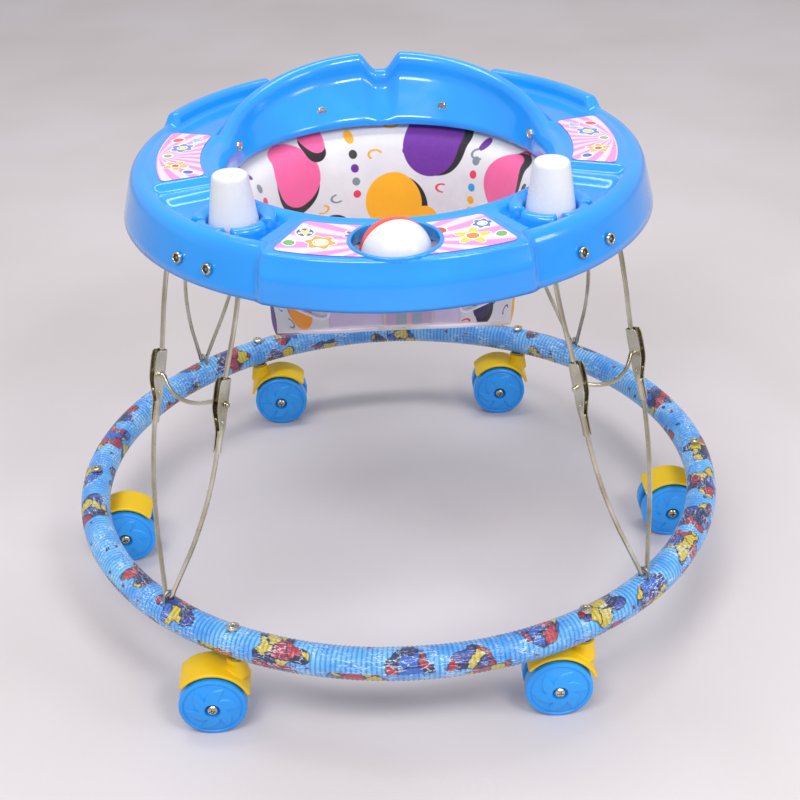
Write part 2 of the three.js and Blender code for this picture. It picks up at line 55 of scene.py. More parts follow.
# ---------------------------------------------------------------- sizes from the frame

def box_mm(node):
    """Lowest and highest corner of a CAD node in millimetres."""
    low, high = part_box(node)
    return np.array(low) / MM, np.array(high) / MM


def centre_mm(node):
    low, high = box_mm(node)
    return (low + high) / 2


def joint_place(name):
    """A joint's pivot in millimetres."""
    joint = next(j for j in frame["joints"] if j["name"] == name)
    return np.array(joint["pos_m"]) / MM


SLEEVE_LOW, SLEEVE_HIGH = box_mm("tube_sleeve")
SLEEVE_RADIUS = (SLEEVE_HIGH[2] - SLEEVE_LOW[2]) / 2
RING_HEIGHT = (SLEEVE_HIGH[2] + SLEEVE_LOW[2]) / 2
RING_RADIUS = SLEEVE_HIGH[0] - SLEEVE_RADIUS
BOLT_TOP = box_mm("caster_bolt_right")[1][2]

WHEEL_CENTRE = centre_mm("caster_wheels_right")
WHEEL_RADIUS = WHEEL_CENTRE[2]
TRAIL = abs(WHEEL_CENTRE[0] - centre_mm("caster_bolt_right")[0])
HOUSING_TOP = box_mm("caster_housing_right")[1][2]
AXLE_HALF = box_mm("caster_axle_right")[1][1]
WHEEL_GAP = 5.2
WHEEL_FACE = 16.5

RING_PIVOT = joint_place("fold_front_left")
KNEE_PIVOT = joint_place("knee_front_left")
TRAY_PIVOT = joint_place("tray_level")
PIVOT_RADIUS = math.hypot(RING_PIVOT[0], RING_PIVOT[1])
TRAY_PIVOT_RADIUS = math.hypot(TRAY_PIVOT[0], TRAY_PIVOT[1])
LEG_LEAN = math.atan2(PIVOT_RADIUS - TRAY_PIVOT_RADIUS, TRAY_PIVOT[2] - RING_PIVOT[2])
LEG_LENGTH = float(np.linalg.norm(TRAY_PIVOT - RING_PIVOT))
LOWER_LEG = float(np.linalg.norm(KNEE_PIVOT - RING_PIVOT))
WIRE_RADIUS = 2.0
KNEE_HALF_WIDTH = 38.0

SKIRT_BOTTOM = box_mm("play_tray")[0][2]
EDGE_HEIGHT = SKIRT_BOTTOM + 40
DECK_HEIGHT = EDGE_HEIGHT - 3
PAD_HEIGHT = box_mm("sticker_left")[0][2] - 0.3
PANEL_HEIGHT = box_mm("sticker_front_left")[0][2] - 0.3
POCKET_HEIGHT = EDGE_HEIGHT - 9
SKIRT_RADIUS = 229.0
EDGE_RADIUS = 219.0
RIM_RADIUS = 146.0
OPENING_RADIUS = 138.0
WALL_BOTTOM = SKIRT_BOTTOM + 14
SEAT_RIVET_HEIGHT = WALL_BOTTOM + 15
TRAY_WALL = 2.4
BACKREST_REACH = 76
BACKREST_RISE = 33
BACKREST_LEAN = 28
NOTCH_DEPTH = 17

BALL_CENTRE = (box_mm("ball_half_front")[0] + box_mm("ball_half_rear")[1]) / 2
BALL_CENTRE[0] = 0.0
BALL_RADIUS = (box_mm("ball_half_front")[1][0] - box_mm("ball_half_front")[0][0]) / 2
BALL_HOLE = 35.0
CONE_RING = math.hypot(*centre_mm("cone_left")[:2])
CONE_AZIMUTHS = {"cone_left": -134.0, "cone_right": -46.0}
CONE_TOP = box_mm("cone_left")[1][2]

SEAT_FLOOR = box_mm("sling_seat")[0][2]
SEAT_TOP = box_mm("sling_seat")[1][2]
SEAT_SLOPE = 0.58
LEG_HOLE = 34.0
LEG_HOLE_PLACE = 50.0
LEG_HOLE_TOP = SEAT_FLOOR + 72


# ---------------------------------------------------------------- camera, light and floor

CAMERA_PLACE = (-0.0276, -1.214, 0.8687)
CAMERA_TARGET = (0.0044, 0.0, 0.16)
CAMERA_LENS = 66.83
CAMERA_ROLL = -1.88


def add_camera():
    camera = bpy.data.objects.new("camera", bpy.data.cameras.new("camera"))
    camera.data.lens = CAMERA_LENS
    camera.data.sensor_width = 36
    camera.location = CAMERA_PLACE
    look = Vector(CAMERA_TARGET) - Vector(CAMERA_PLACE)
    turn = look.to_track_quat("-Z", "Y").to_matrix().to_4x4()
    roll = Matrix.Rotation(math.radians(CAMERA_ROLL), 4, "Z")
    camera.matrix_world = Matrix.Translation(CAMERA_PLACE) @ turn @ roll
    camera.data.clip_end = 50
    bpy.context.scene.collection.objects.link(camera)
    bpy.context.scene.camera = camera


def add_area_light(name, place, target, size, power, colour=(1, 1, 1)):
    light = bpy.data.lights.new(name, "AREA")
    light.shape = "RECTANGLE"
    light.size, light.size_y = size
    light.energy = power
    light.color = colour
    lamp = bpy.data.objects.new(name, light)
    lamp.location = place
    lamp.rotation_euler = (Vector(target) - Vector(place)).to_track_quat("-Z", "Y").to_euler()
    bpy.context.scene.collection.objects.link(lamp)


def add_lights():
    target = (0, 0, 0.25)
    add_area_light("key", (-0.55, -1.35, 1.9), target, (1.0, 0.5), 20, (1.0, 0.99, 0.97))
    add_area_light("key_right", (0.75, -1.3, 1.7), target, (0.5, 0.35), 11)
    add_area_light("fill", (1.8, -0.9, 1.3), target, (0.6, 0.6), 7)
    add_area_light("top", (-0.1, 0.5, 2.2), target, (1.8, 0.4), 16)
    world = bpy.data.worlds.new("studio")
    world.use_nodes = True
    background = world.node_tree.nodes["Background"]
    background.inputs["Color"].default_value = (0.98, 0.98, 1.0, 1)
    background.inputs["Strength"].default_value = 0.56
    bpy.context.scene.world = world
    bpy.context.scene.view_settings.view_transform = "Standard"


# ---------------------------------------------------------------- material nodes

def colour(text):
    """A '#rrggbb' colour as linear red, green, blue and alpha."""
    parts = [int(text[i:i + 2], 16) / 255 for i in (1, 3, 5)]
    return tuple(c / 12.92 if c <= 0.04045 else ((c + 0.055) / 1.055) ** 2.4 for c in parts) + (1.0,)


class Look:
    """A node material, with short calls for the nodes that it uses."""

    def __init__(self, name, **sockets):
        self.material = bpy.data.materials.new(name)
        self.material.use_nodes = True
        self.tree = self.material.node_tree
        self.shader = self.tree.nodes["Principled BSDF"]
        for label, value in sockets.items():
            self.shader.inputs[label.replace("_", " ")].default_value = value

    def add(self, kind, inputs=None, **settings):
        node = self.tree.nodes.new("ShaderNode" + kind)
        for key, value in settings.items():
            setattr(node, key, value)
        for key, value in (inputs or {}).items():
            self.feed(node.inputs[key], value)
        return node

    def feed(self, socket, value):
        if isinstance(value, bpy.types.NodeSocket):
            self.tree.links.new(value, socket)
        else:
            socket.default_value = value

    def place(self):
        """Position on the piece in metres."""
        return self.add("TexCoord").outputs["Object"]

    def print_place(self):
        """Position on the printed sheet in millimetres."""
        flat = self.add("UVMap", uv_map="print").outputs["UV"]
        return self.add("VectorMath", {0: flat, "Scale": 1000.0}, operation="SCALE").outputs[0]

    def noise(self, scale, detail=3.0, at=None, stretch=None):
        at = at or self.place()
        if stretch:
            at = self.add("VectorMath", {0: at, 1: stretch}, operation="MULTIPLY").outputs[0]
        return self.add("TexNoise", {"Vector": at, "Scale": scale, "Detail": detail}).outputs["Fac"]

    def sum(self, kind, a, b=0.0, c=0.0):
        return self.add("Math", {0: a, 1: b, 2: c}, operation=kind).outputs[0]

    def spread(self, value, from_low, from_high, low, high):
        """A value mapped from one range to another, and kept inside it."""
        return self.add("MapRange", {
            "Value": value, "From Min": from_low, "From Max": from_high,
            "To Min": low, "To Max": high}).outputs["Result"]

    def mix(self, share, a, b):
        node = self.add("Mix", data_type="RGBA")
        for socket, value in ((node.inputs["Factor"], share), (node.inputs[6], a), (node.inputs[7], b)):
            self.feed(socket, value)
        return node.outputs[2]

    def steps(self, value, colours):
        """Plain colours in equal steps of a value from 0 to 1."""
        node = self.add("ValToRGB", {"Fac": value})
        ramp = node.color_ramp
        ramp.interpolation = "CONSTANT"
        for i, shade in enumerate(colours):
            stop = ramp.elements[i] if i < 2 else ramp.elements.new(i / len(colours))
            stop.position = i / len(colours)
            stop.color = shade
        return node.outputs["Color"]

    def bump(self, height, distance, strength=1.0, before=None):
        inputs = {"Height": height, "Distance": distance, "Strength": strength}
        if before:
            inputs["Normal"] = before
        return self.add("Bump", inputs).outputs["Normal"]

    def inside(self, value, limit, soft=0.15):
        """1 where a value is below a limit, with a soft edge."""
        return self.spread(self.sum("SUBTRACT", limit, value), -soft, soft, 0.0, 1.0)

    def from_centre(self, at, centre):
        """Distance and angle from a centre on the printed sheet."""
        offset = self.add("VectorMath", {0: at, 1: centre}, operation="SUBTRACT").outputs[0]
        flat = self.add("VectorMath", {0: offset, 1: (1, 1, 0)}, operation="MULTIPLY").outputs[0]
        split = self.add("SeparateXYZ", {0: flat})
        distance = self.add("VectorMath", {0: flat}, operation="LENGTH").outputs["Value"]
        angle = self.sum("ARCTAN2", split.outputs["Y"], split.outputs["X"])
        return distance, angle

    def finish(self, base=None, roughness=None, normal=None, coat_normal=None):
        feeds = {"Base Color": base, "Roughness": roughness, "Normal": normal, "Coat Normal": coat_normal}
        for label, value in feeds.items():
            if value is not None:
                self.feed(self.shader.inputs[label], value)
        return self.material


def moulded_plastic(name, light, dark, roughness, grain=0.00004, **sockets):
    """Moulded plastic: slow colour drift, handling marks in the gloss and a fine orange peel."""
    look = Look(name, **sockets)
    drift = look.spread(look.noise(9.0, 2.0), 0.35, 0.65, 0.0, 1.0)
    base = look.mix(drift, colour(dark), colour(light))
    marks = look.spread(look.noise(60.0, 6.0), 0.3, 0.7, roughness - 0.05, roughness + 0.07)
    peel = look.bump(look.noise(900.0, 2.0), grain, 0.6)
    flow = look.bump(look.noise(45.0, 2.0), 0.0004, 0.35, before=peel)
    return look.finish(base, marks, flow)


def plated_metal(name, light, dark, roughness, streak=(1, 1, 1)):
    """Plated wire or sheet: cloudy plating, darker stains and fine drawing marks."""
    look = Look(name, Metallic=1.0)
    clouds = look.spread(look.noise(30.0, 4.0), 0.35, 0.7, 0.0, 1.0)
    base = look.mix(clouds, colour(light), colour(dark))
    uneven = look.spread(look.noise(90.0, 4.0), 0.3, 0.7, roughness - 0.05, roughness + 0.08)
    marks = look.bump(look.noise(700.0, 3.0, stretch=streak), 0.00002, 0.3)
    return look.finish(base, uneven, marks)


PATCH_COLOURS = ("#b3202f", "#c9b51e", "#16225e", "#2461c4", "#a51c3c", "#c9b51e", "#2a3f9a", "#16225e")


def scattered(look, at, size, fill, share, lobes):
    """Masks of shapes scattered one to a cell: the whole shape, and its middle inside an outline."""
    scaled = look.add("VectorMath", {0: at, "Scale": 1 / size}, operation="SCALE").outputs[0]
    cells = look.add("TexVoronoi", {"Vector": scaled, "Scale": 1.0, "Randomness": 0.6},
                     voronoi_dimensions="2D")
    distance, angle = look.from_centre(scaled, cells.outputs["Position"])
    dice = look.add("SeparateColor", {0: cells.outputs["Color"]})
    phase = look.sum("MULTIPLY", dice.outputs[1], 6.0)
    wave = look.sum("SINE", look.sum("MULTIPLY_ADD", angle, lobes, phase))
    depth = look.sum("MULTIPLY", look.sum("GREATER_THAN", dice.outputs[2], 0.4), 0.25 * fill)
    edge = look.sum("MULTIPLY_ADD", wave, depth, fill)
    shaken = look.spread(look.noise(2.5, 2.0, at=scaled), 0.3, 0.7, -0.09, 0.09)
    edge = look.sum("ADD", edge, shaken)
    present = look.sum("LESS_THAN", dice.outputs[0], share)
    whole = look.sum("MULTIPLY", look.inside(distance, edge, 0.012), present)
    thin_edge = look.sum("SUBTRACT", edge, 1.3 / size)
    middle = look.sum("MULTIPLY", look.inside(distance, thin_edge, 0.012), present)
    return whole, middle, dice.outputs[1]


def sleeve_look():
    """Printed sleeve: blue ribs and patchwork balls and stars, under a wrinkled clear film, with painted
    shade in bands along the ribs and painted highlight streaks on the film.
    """
    look = Look("printed_sleeve", Coat_Weight=1.0, Coat_Roughness=0.05)
    at = look.print_place()
    split = look.add("SeparateXYZ", {0: at})
    around = look.sum("SINE", look.sum("MULTIPLY", split.outputs["X"], 2 * math.pi / RIB_PITCH))
    pale = look.mix(look.spread(look.noise(0.03, 3.0, at=at), 0.4, 0.62, 0, 1),
                    colour("#3a9df2"), colour("#6cc0fa"))
    # painted shade: the ground turns deeper blue over part of each rib pitch, standing in for the shade on
    # the ribs' flanks
    ground = look.mix(look.spread(around, -1.0, 0.3, 0.5, 0.0), pale, colour("#2077d2"))
    patches = look.add("VectorMath", {0: at, "Scale": 1 / 13.0}, operation="SCALE").outputs[0]
    shift = look.add("TexNoise", {"Vector": patches, "Scale": 1.3, "Detail": 2.0}).outputs["Color"]
    patches = look.add("VectorMath", {0: patches, 1: shift}, operation="ADD").outputs[0]
    cells = look.add("TexVoronoi", {"Vector": patches, "Scale": 1.0}, voronoi_dimensions="2D")
    borders = look.add("TexVoronoi", {"Vector": patches, "Scale": 1.0}, voronoi_dimensions="2D",
                       feature="DISTANCE_TO_EDGE").outputs["Distance"]
    dice = look.add("SeparateColor", {0: cells.outputs["Color"]}).outputs[0]
    patchwork = look.steps(dice, [colour(c) for c in PATCH_COLOURS])
    patchwork = look.mix(look.inside(borders, 0.055, 0.012), patchwork, colour("#10173c"))
    whole, _, pick = scattered(look, at, 12.0, 0.15, 0.14, 3.0)
    printed = look.mix(whole, ground, look.steps(pick, [colour(c) for c in ("#7c1846", "#1b2a7a")]))
    whole, middle, _ = scattered(look, at, 56.0, 0.36, 0.85, 5.0)
    printed = look.mix(whole, printed, colour("#10173c"))
    printed = look.mix(middle, printed, patchwork)
    # painted shade: a navy band at the rib pitch is laid over the print too
    printed = look.mix(look.spread(around, -1.0, 0.3, 0.3, 0.0), printed, colour("#12285c"))
    creases = look.noise(0.09, 7.0, at=at, stretch=(1.0, 3.0, 1.0))
    # painted highlight: thin pale streaks along the crease lines stand in for the glossy film's reflections
    line = look.inside(look.sum("ABSOLUTE", look.sum("SUBTRACT", creases, 0.5)), 0.012, 0.01)
    line = look.sum("MULTIPLY", line, look.spread(look.noise(0.04, 2.0, at=at), 0.42, 0.55, 0.0, 0.9))
    printed = look.mix(line, printed, colour("#dcecfa"))
    film = look.bump(creases, 0.006, 1.0)
    fine = look.bump(look.noise(0.5, 4.0, at=at, stretch=(1.0, 2.0, 1.0)), 0.0012, 1.0, before=film)
    body = look.bump(look.noise(0.5, 3.0, at=at), 0.0004, 0.5)
    return look.finish(printed, look.spread(creases, 0.3, 0.7, 0.25, 0.45), body, fine)


def outlined(look, ground, at, kind, centre, size, fill):
    """One printed shape with a white border and a thin dark line inside it."""
    distance, angle = look.from_centre(at, (*centre, 0))
    if kind == "star":
        wave = look.sum("COSINE", look.sum("MULTIPLY", angle, 5.0))
        distance = look.sum("DIVIDE", distance, look.sum("MULTIPLY_ADD", wave, 0.3, 0.85))
    if kind == "flower":
        wave = look.sum("COSINE", look.sum("MULTIPLY", angle, 6.0))
        distance = look.sum("DIVIDE", distance, look.sum("MULTIPLY_ADD", wave, 0.14, 0.9))
    shown = look.mix(look.inside(distance, size + 1.3), ground, colour("#fbfbfb"))
    shown = look.mix(look.inside(distance, size), shown, colour("#3b3a44"))
    return look.mix(look.inside(distance, size - 0.5), shown, colour(fill))


def sticker_look(name, ray_centre, shapes):
    """Glossy label: a pink sunburst under a few outlined toys and stars."""
    look = Look(name, Coat_Weight=0.4, Coat_Roughness=0.15)
    at = look.print_place()
    _, angle = look.from_centre(at, (*ray_centre, 0))
    rays = look.sum("SINE", look.sum("MULTIPLY", angle, 22.0))
    ground = look.mix(look.spread(rays, -0.25, 0.25, 0, 1), colour("#f6d3ea"), colour("#f391cb"))
    for kind, centre, size, fill in shapes:
        ground = outlined(look, ground, at, kind, centre, size, fill)
    paper = look.spread(look.noise(200.0, 3.0), 0.3, 0.7, 0.3, 0.42)
    return look.finish(ground, paper, look.bump(look.noise(300.0, 2.0), 0.00005, 0.4))


SEAT_DOTS = (
    # azimuth round the seat, height, radius, fill, and where its dark crescent shows
    (134, 353, 26, "#f0609a", (2, -7)), (119, 378, 10, "#f0609a", (3, -7)),
    (69, 367, 25, "#6a2a96", (-7, 1)), (86, 316, 28, "#fbb01c", (-6, -3)),
    (70, 300, 13, "#fbb01c", (0, -2)), (27, 350, 25, "#f0609a", (-6, 2)),
    (152, 300, 20, "#6a2a96", (5, -4)), (40, 300, 20, "#fbb01c", (5, -4)),
    (-5, 352, 20, "#6a2a96", (-5, 3)), (180, 345, 24, "#fbb01c", (5, 4)),
    (115, 285, 20, "#f0609a", (4, 4)), (55, 262, 18, "#6a2a96", (-4, 4)),
    (-155, 322, 24, "#f0609a", (4, -5)), (-137, 297, 17, "#fb9a1c", (-2, 2)),
    (-24, 335, 22, "#f0609a", (5, -4)), (-47, 297, 12, "#3b2a56", (3, -6)),
    (-36, 310, 12, "#5c6878", (4, 2)), (-8, 262, 20, "#fbb01c", (4, 3)),
    (-172, 262, 20, "#6a2a96", (4, 3)),
)
SEAT_PRINT_RADIUS = 114.0
CONFETTI = ("#e23a5a", "#2e9ad6", "#f2a51c", "#3a3a3a", "#6a2a96", "#7c8a94")
BEAD_COLUMNS = (104, 46, 160, 8, -18, 205)
BEAD_HEIGHTS = (374, 362, 350, 338, 326)


def weave(look, at, pitch):
    """Height of a plain weave, from the two thread directions on the flat cloth."""
    split = look.add("SeparateXYZ", {0: at})
    turns = 2 * math.pi / pitch
    warp = look.sum("SINE", look.sum("MULTIPLY", split.outputs["X"], turns))
    weft = look.sum("SINE", look.sum("MULTIPLY", split.outputs["Y"], turns))
    return look.sum("MULTIPLY", warp, weft)


def cloth_look(name, ground, pitch=0.9, dots=(), confetti=False):
    """Woven cloth: ground colour, printed dots with dark crescents, weave and slack creases."""
    look = Look(name, Sheen_Weight=0.25, Sheen_Roughness=0.5)
    at = look.print_place()
    shade = look.spread(look.noise(0.02, 3.0, at=at), 0.35, 0.65, 0.0, 1.0)
    base = look.mix(shade, colour(ground[0]), colour(ground[1]))
    if confetti:
        scaled = look.add("VectorMath", {0: at, 1: (1 / 34, 1 / 22, 1)}, operation="MULTIPLY").outputs[0]
        cells = look.add("TexVoronoi", {"Vector": scaled, "Scale": 1.0, "Randomness": 0.8},
                         voronoi_dimensions="2D")
        dice = look.add("SeparateColor", {0: cells.outputs["Color"]})
        distance, angle = look.from_centre(scaled, cells.outputs["Position"])
        hook = look.sum("ABSOLUTE", look.sum("SUBTRACT", distance, 0.17))
        part = look.sum("LESS_THAN", look.sum("SINE", look.sum("ADD", angle, look.sum(
            "MULTIPLY", dice.outputs[0], 6.0))), 0.35)
        arc = look.sum("MULTIPLY", look.inside(hook, 0.035, 0.008), part)
        inked = look.sum("MULTIPLY", arc, look.sum("LESS_THAN", dice.outputs[2], 0.5))
        base = look.mix(inked, base, look.steps(dice.outputs[1], [colour(c) for c in CONFETTI]))
    for column in BEAD_COLUMNS if dots else ():
        for i, height in enumerate(BEAD_HEIGHTS):
            bead = (math.radians(column) * SEAT_PRINT_RADIUS, height, 0)
            shown = look.inside(look.from_centre(at, bead)[0], 3.8, 0.3)
            base = look.mix(shown, base, colour(CONFETTI[(i + column) % len(CONFETTI)]))
    for azimuth, height, radius, fill, shift in dots:
        centre = (math.radians(azimuth) * SEAT_PRINT_RADIUS, height)
        if azimuth < -90:
            centre = (math.radians(azimuth + 360) * SEAT_PRINT_RADIUS, height)
        behind = (centre[0] + shift[0], centre[1] + shift[1], 0)
        base = look.mix(look.inside(look.from_centre(at, behind)[0], radius, 0.3), base, colour("#1f1d22"))
        front = look.from_centre(at, (*centre, 0))[0]
        base = look.mix(look.inside(front, radius, 0.3), base, colour(fill))
    threads = look.bump(weave(look, at, pitch), 0.00012, 0.5)
    creases = look.bump(look.noise(0.05, 4.0, at=at, stretch=(1.0, 0.35, 1.0)), 0.004, 0.35, before=threads)
    return look.finish(base, look.spread(look.noise(0.3, 3.0, at=at), 0.3, 0.7, 0.78, 0.92), creases)


def webbing_look():
    """Woven strap: grey-blue middle, lilac bands and peach edges, with a coarse rib."""
    look = Look("webbing", Sheen_Weight=0.2)
    at = look.print_place()
    split = look.add("SeparateXYZ", {0: at})
    across = look.spread(look.sum("ABSOLUTE", split.outputs["X"]), 0.0, 21.0, 0.0, 0.999)
    bands = ["#e9b9c6", "#a9b5c6", "#a9b5c6", "#a9b5c6", "#a9b5c6", "#cdb2d4",
             "#cdb2d4", "#cdb2d4", "#cdb2d4", "#e6cfc6"]
    base = look.steps(across, [colour(c) for c in bands])
    rib = look.sum("SINE", look.sum("MULTIPLY", split.outputs["Y"], 2 * math.pi / 1.4))
    base = look.mix(look.spread(rib, -1, 1, 0.0, 0.25), base, colour("#8e86a6"))
    return look.finish(base, look.spread(look.noise(1.0, 2.0, at=at), 0.3, 0.7, 0.7, 0.85),
                       look.bump(rib, 0.0002, 0.8))


def floor_look():
    look = Look("floor", Roughness=0.9)
    threads = look.sum("MULTIPLY", look.noise(500.0, 2.0, stretch=(1, 0.15, 1)),
                       look.noise(500.0, 2.0, stretch=(0.15, 1, 1)))
    base = look.mix(look.spread(look.noise(3.0, 2.0), 0.35, 0.65, 0, 1), colour("#cfc8c9"), colour("#d6d0d3"))
    return look.finish(base, None, look.bump(threads, 0.0006, 0.35))


# ---------------------------------------------------------------- mesh building blocks

def mesh_piece(name, points, faces, place=None, sharp=50.0, prints=None):
    """An object from points in millimetres. A placing matrix moves it, prints give its flat place."""
    points = np.asarray(points, float).reshape(-1, 3)
    if place is not None:
        matrix = np.array(place)
        points = points @ matrix[:3, :3].T + matrix[:3, 3]
    mesh = bpy.data.meshes.new(name)
    mesh.from_pydata((points * MM).tolist(), [], faces)
    if prints is not None:
        layer = mesh.uv_layers.new(name="print")
        corners = np.array([corner for face in prints for corner in face], float) * MM
        layer.data.foreach_set("uv", corners.ravel())
    build = bmesh.new()
    build.from_mesh(mesh)
    bmesh.ops.remove_doubles(build, verts=build.verts, dist=1e-6)
    bmesh.ops.dissolve_degenerate(build, edges=build.edges, dist=1e-7)
    bmesh.ops.recalc_face_normals(build, faces=build.faces)
    build.to_mesh(mesh)
    build.free()
    mesh.shade_smooth()
    mesh.set_sharp_from_angle(angle=math.radians(sharp))
    piece = bpy.data.objects.new(name, mesh)
    bpy.context.scene.collection.objects.link(piece)
    return piece


def grid_faces(rows, columns, close_rows=False, close_columns=False):
    """Faces of a grid of points stored row by row."""
    faces = []
    for i in range(rows if close_rows else rows - 1):
        below = ((i + 1) % rows) * columns
        for j in range(columns if close_columns else columns - 1):
            k = (j + 1) % columns
            faces.append((i * columns + j, i * columns + k, below + k, below + j))
    return faces


def grid_prints(rows, columns, flat):
    """Flat places of a grid's faces, where column numbers may run past the seam."""
    return [[flat(i, j), flat(i, j + 1), flat(i + 1, j + 1), flat(i + 1, j)]
            for i in range(rows - 1) for j in range(columns)]


def rounded(points, radius, steps=4, closed=False, fill=1):
    """A polyline with its corners rounded and each straight cut into a number of parts."""
    points = [np.asarray(p, float) for p in points]
    count = len(points)
    out = []
    for i, corner in enumerate(points):
        if not closed and i in (0, count - 1):
            arc = [corner]
        else:
            before, after = points[i - 1], points[(i + 1) % count]
            reach = [min(radius, 0.45 * np.linalg.norm(corner - p)) for p in (before, after)]
            start = corner + (before - corner) / np.linalg.norm(before - corner) * reach[0]
            end = corner + (after - corner) / np.linalg.norm(after - corner) * reach[1]
            turns = np.linspace(0, 1, steps + 1)
            arc = [(1 - t) ** 2 * start + 2 * t * (1 - t) * corner + t * t * end for t in turns]
        if out and fill > 1:
            out += [out[-1] + (arc[0] - out[-1]) * k / fill for k in range(1, fill)]
        out += arc
    return np.array(out)


def smooth_path(points, steps=12):
    """A centripetal curve through points, with the same number of steps on each span."""
    points = np.array(points, float)
    padded = np.vstack([2 * points[0] - points[1], points, 2 * points[-1] - points[-2]])
    out = []
    for i in range(1, len(padded) - 2):
        p = padded[i - 1:i + 3]
        knots = np.concatenate([[0], np.cumsum(np.linalg.norm(np.diff(p, axis=0), axis=1) ** 0.5)])
        for t in np.linspace(knots[1], knots[2], steps, endpoint=False):
            level = list(p)
            for spans in (((0, 1), (1, 2), (2, 3)), ((0, 2), (1, 3)), ((1, 2),)):
                level = [
                    ((knots[b] - t) * level[k] + (t - knots[a]) * level[k + 1]) / (knots[b] - knots[a])
                    for k, (a, b) in enumerate(spans)]
            out.append(level[0])
    out.append(points[-1])
    return np.array(out)


def tube_mesh(path, radius, sides=14, closed=False):
    """Points and faces of a round tube along a path, with slightly rounded ends."""
    path = np.array(path, float)
    tangents = np.gradient(path, axis=0)
    if closed:
        tangents = np.roll(path, -1, axis=0) - np.roll(path, 1, axis=0)
    tangents /= np.linalg.norm(tangents, axis=1)[:, None]
    side = np.cross(tangents[0], (0.31, 0.47, 0.83))
    rings = []
    for point, tangent in zip(path, tangents):
        side = side - tangent * (side @ tangent)
        side /= np.linalg.norm(side)
        rings.append((point, tangent, side, np.cross(tangent, side)))
    turns = np.linspace(0, 2 * math.pi, sides, endpoint=False)

    def ring(frame_here, size, shift=0.0):
        point, tangent, u, v = frame_here
        return [point + tangent * shift + size * (math.cos(t) * u + math.sin(t) * v) for t in turns]

    rows = [ring(r, radius) for r in rings]
    if not closed:
        first, last = rings[0], rings[-1]
        rows = [ring(first, 0.0, -0.4 * radius), ring(first, 0.7 * radius, -0.3 * radius)] + rows
        rows += [ring(last, 0.7 * radius, 0.3 * radius), ring(last, 0.0, 0.4 * radius)]
    return np.array(rows).reshape(-1, 3), grid_faces(len(rows), sides, closed, True)


def tube(name, path, radius, place=None, sides=14, closed=False):
    points, faces = tube_mesh(path, radius, sides, closed)
    return mesh_piece(name, points, faces, place)


def lathe_mesh(profile, steps=64, axis="z", closed=False):
    """Points and faces of a turned shape from (radius, height) pairs."""
    rows = []
    for radius, height in profile:
        for turn in np.linspace(0, 2 * math.pi, steps, endpoint=False):
            x, y = radius * math.cos(turn), radius * math.sin(turn)
            rows.append((x, y, height) if axis == "z" else (x, height, y) if axis == "y" else (height, x, y))
    return np.array(rows), grid_faces(len(profile), steps, closed, True)


def joined(*parts):
    """Several (points, faces) pairs as one."""
    points, faces, start = [], [], 0
    for part_points, part_faces in parts:
        points.append(np.asarray(part_points, float).reshape(-1, 3))
        faces += [tuple(i + start for i in face) for face in part_faces]
        start += len(points[-1])
    return np.vstack(points), faces


def moved(part, shift):
    return part[0] + np.array(shift, float), part[1]


def applied(piece, *modifiers):
    """A piece with modifiers added and made part of its mesh."""
    for kind, settings in modifiers:
        modifier = piece.modifiers.new(kind.lower(), kind)
        for key, value in settings.items():
            setattr(modifier, key, value)
    graph = bpy.context.evaluated_depsgraph_get()
    mesh = bpy.data.meshes.new_from_object(piece.evaluated_get(graph))
    old = piece.data
    piece.modifiers.clear()
    piece.data = mesh
    mesh.name = piece.name
    bpy.data.meshes.remove(old)
    return piece


def copy_of(piece, name, matrix):
    """A copy of a piece whose mesh is moved by a matrix in metres."""
    twin = bpy.data.objects.new(name, piece.data.copy())
    twin.data.transform(matrix)
    bpy.context.scene.collection.objects.link(twin)
    return twin


def settle(piece, body, slot, look, *nodes):
    """Puts a finished piece on its body, with its material and the nodes it replaces. The slot argument is
    not used.
    """
    if look:
        piece.data.materials.clear()
        piece.data.materials.append(look)
    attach(piece, body)
    if nodes:
        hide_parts(*nodes)
    return piece


def polar(radius, azimuth, height=0.0):
    turn = math.radians(azimuth)
    return np.array((radius * math.cos(turn), radius * math.sin(turn), height))


def turned_to(azimuth, radius=0.0, height=0.0, lean=0.0):
    """Placing matrix: out along an azimuth, at a height, leaned about the tangent."""
    return (Matrix.Rotation(math.radians(azimuth), 4, "Z")
            @ Matrix.Translation((radius, 0, height))
            @ Matrix.Rotation(lean, 4, "Y"))


def smoothstep(value, low, high):
    t = min(1.0, max(0.0, (value - low) / (high - low)))
    return t * t * (3 - 2 * t)


def within(value, low, high, soft):
    return smoothstep(value, low - soft, low + soft) * (1 - smoothstep(value, high - soft, high + soft))


def away_from(azimuth, middle):
    return abs((azimuth - middle + 540) % 360 - 180)


def screw_head(radius, height, steps=48):
    """Points and faces of a pan head with a cross recess, standing on z = 0."""
    rows = []
    radii = [0.0] + list(np.linspace(0.08, 0.94, 16)) + [1.0, 1.0]
    for k, share in enumerate(radii):
        dome = height * (1 - 0.45 * share ** 3)
        for turn in np.linspace(0, 2 * math.pi, steps, endpoint=False):
            x, y = share * math.cos(turn), share * math.sin(turn)
            arm = min(abs(x), abs(y))
            recess = (1 - smoothstep(arm, 0.1, 0.17)) * (1 - smoothstep(share, 0.5, 0.62))
            top = dome - 0.5 * height * recess
            rows.append((radius * x, radius * y, 0.0 if k == len(radii) - 1 else top))
    return np.array(rows), grid_faces(len(radii), steps, False, True)


# ---------------------------------------------------------------- base ring

RIB_PITCH = 4.0
RIB_COUNT = round(2 * math.pi * RING_RADIUS / RIB_PITCH)
RIB_DEPTH = 0.55
RIB_STEPS = 6
SLEEVE_SIDES = 28
SEAM_ANGLE = 0.1


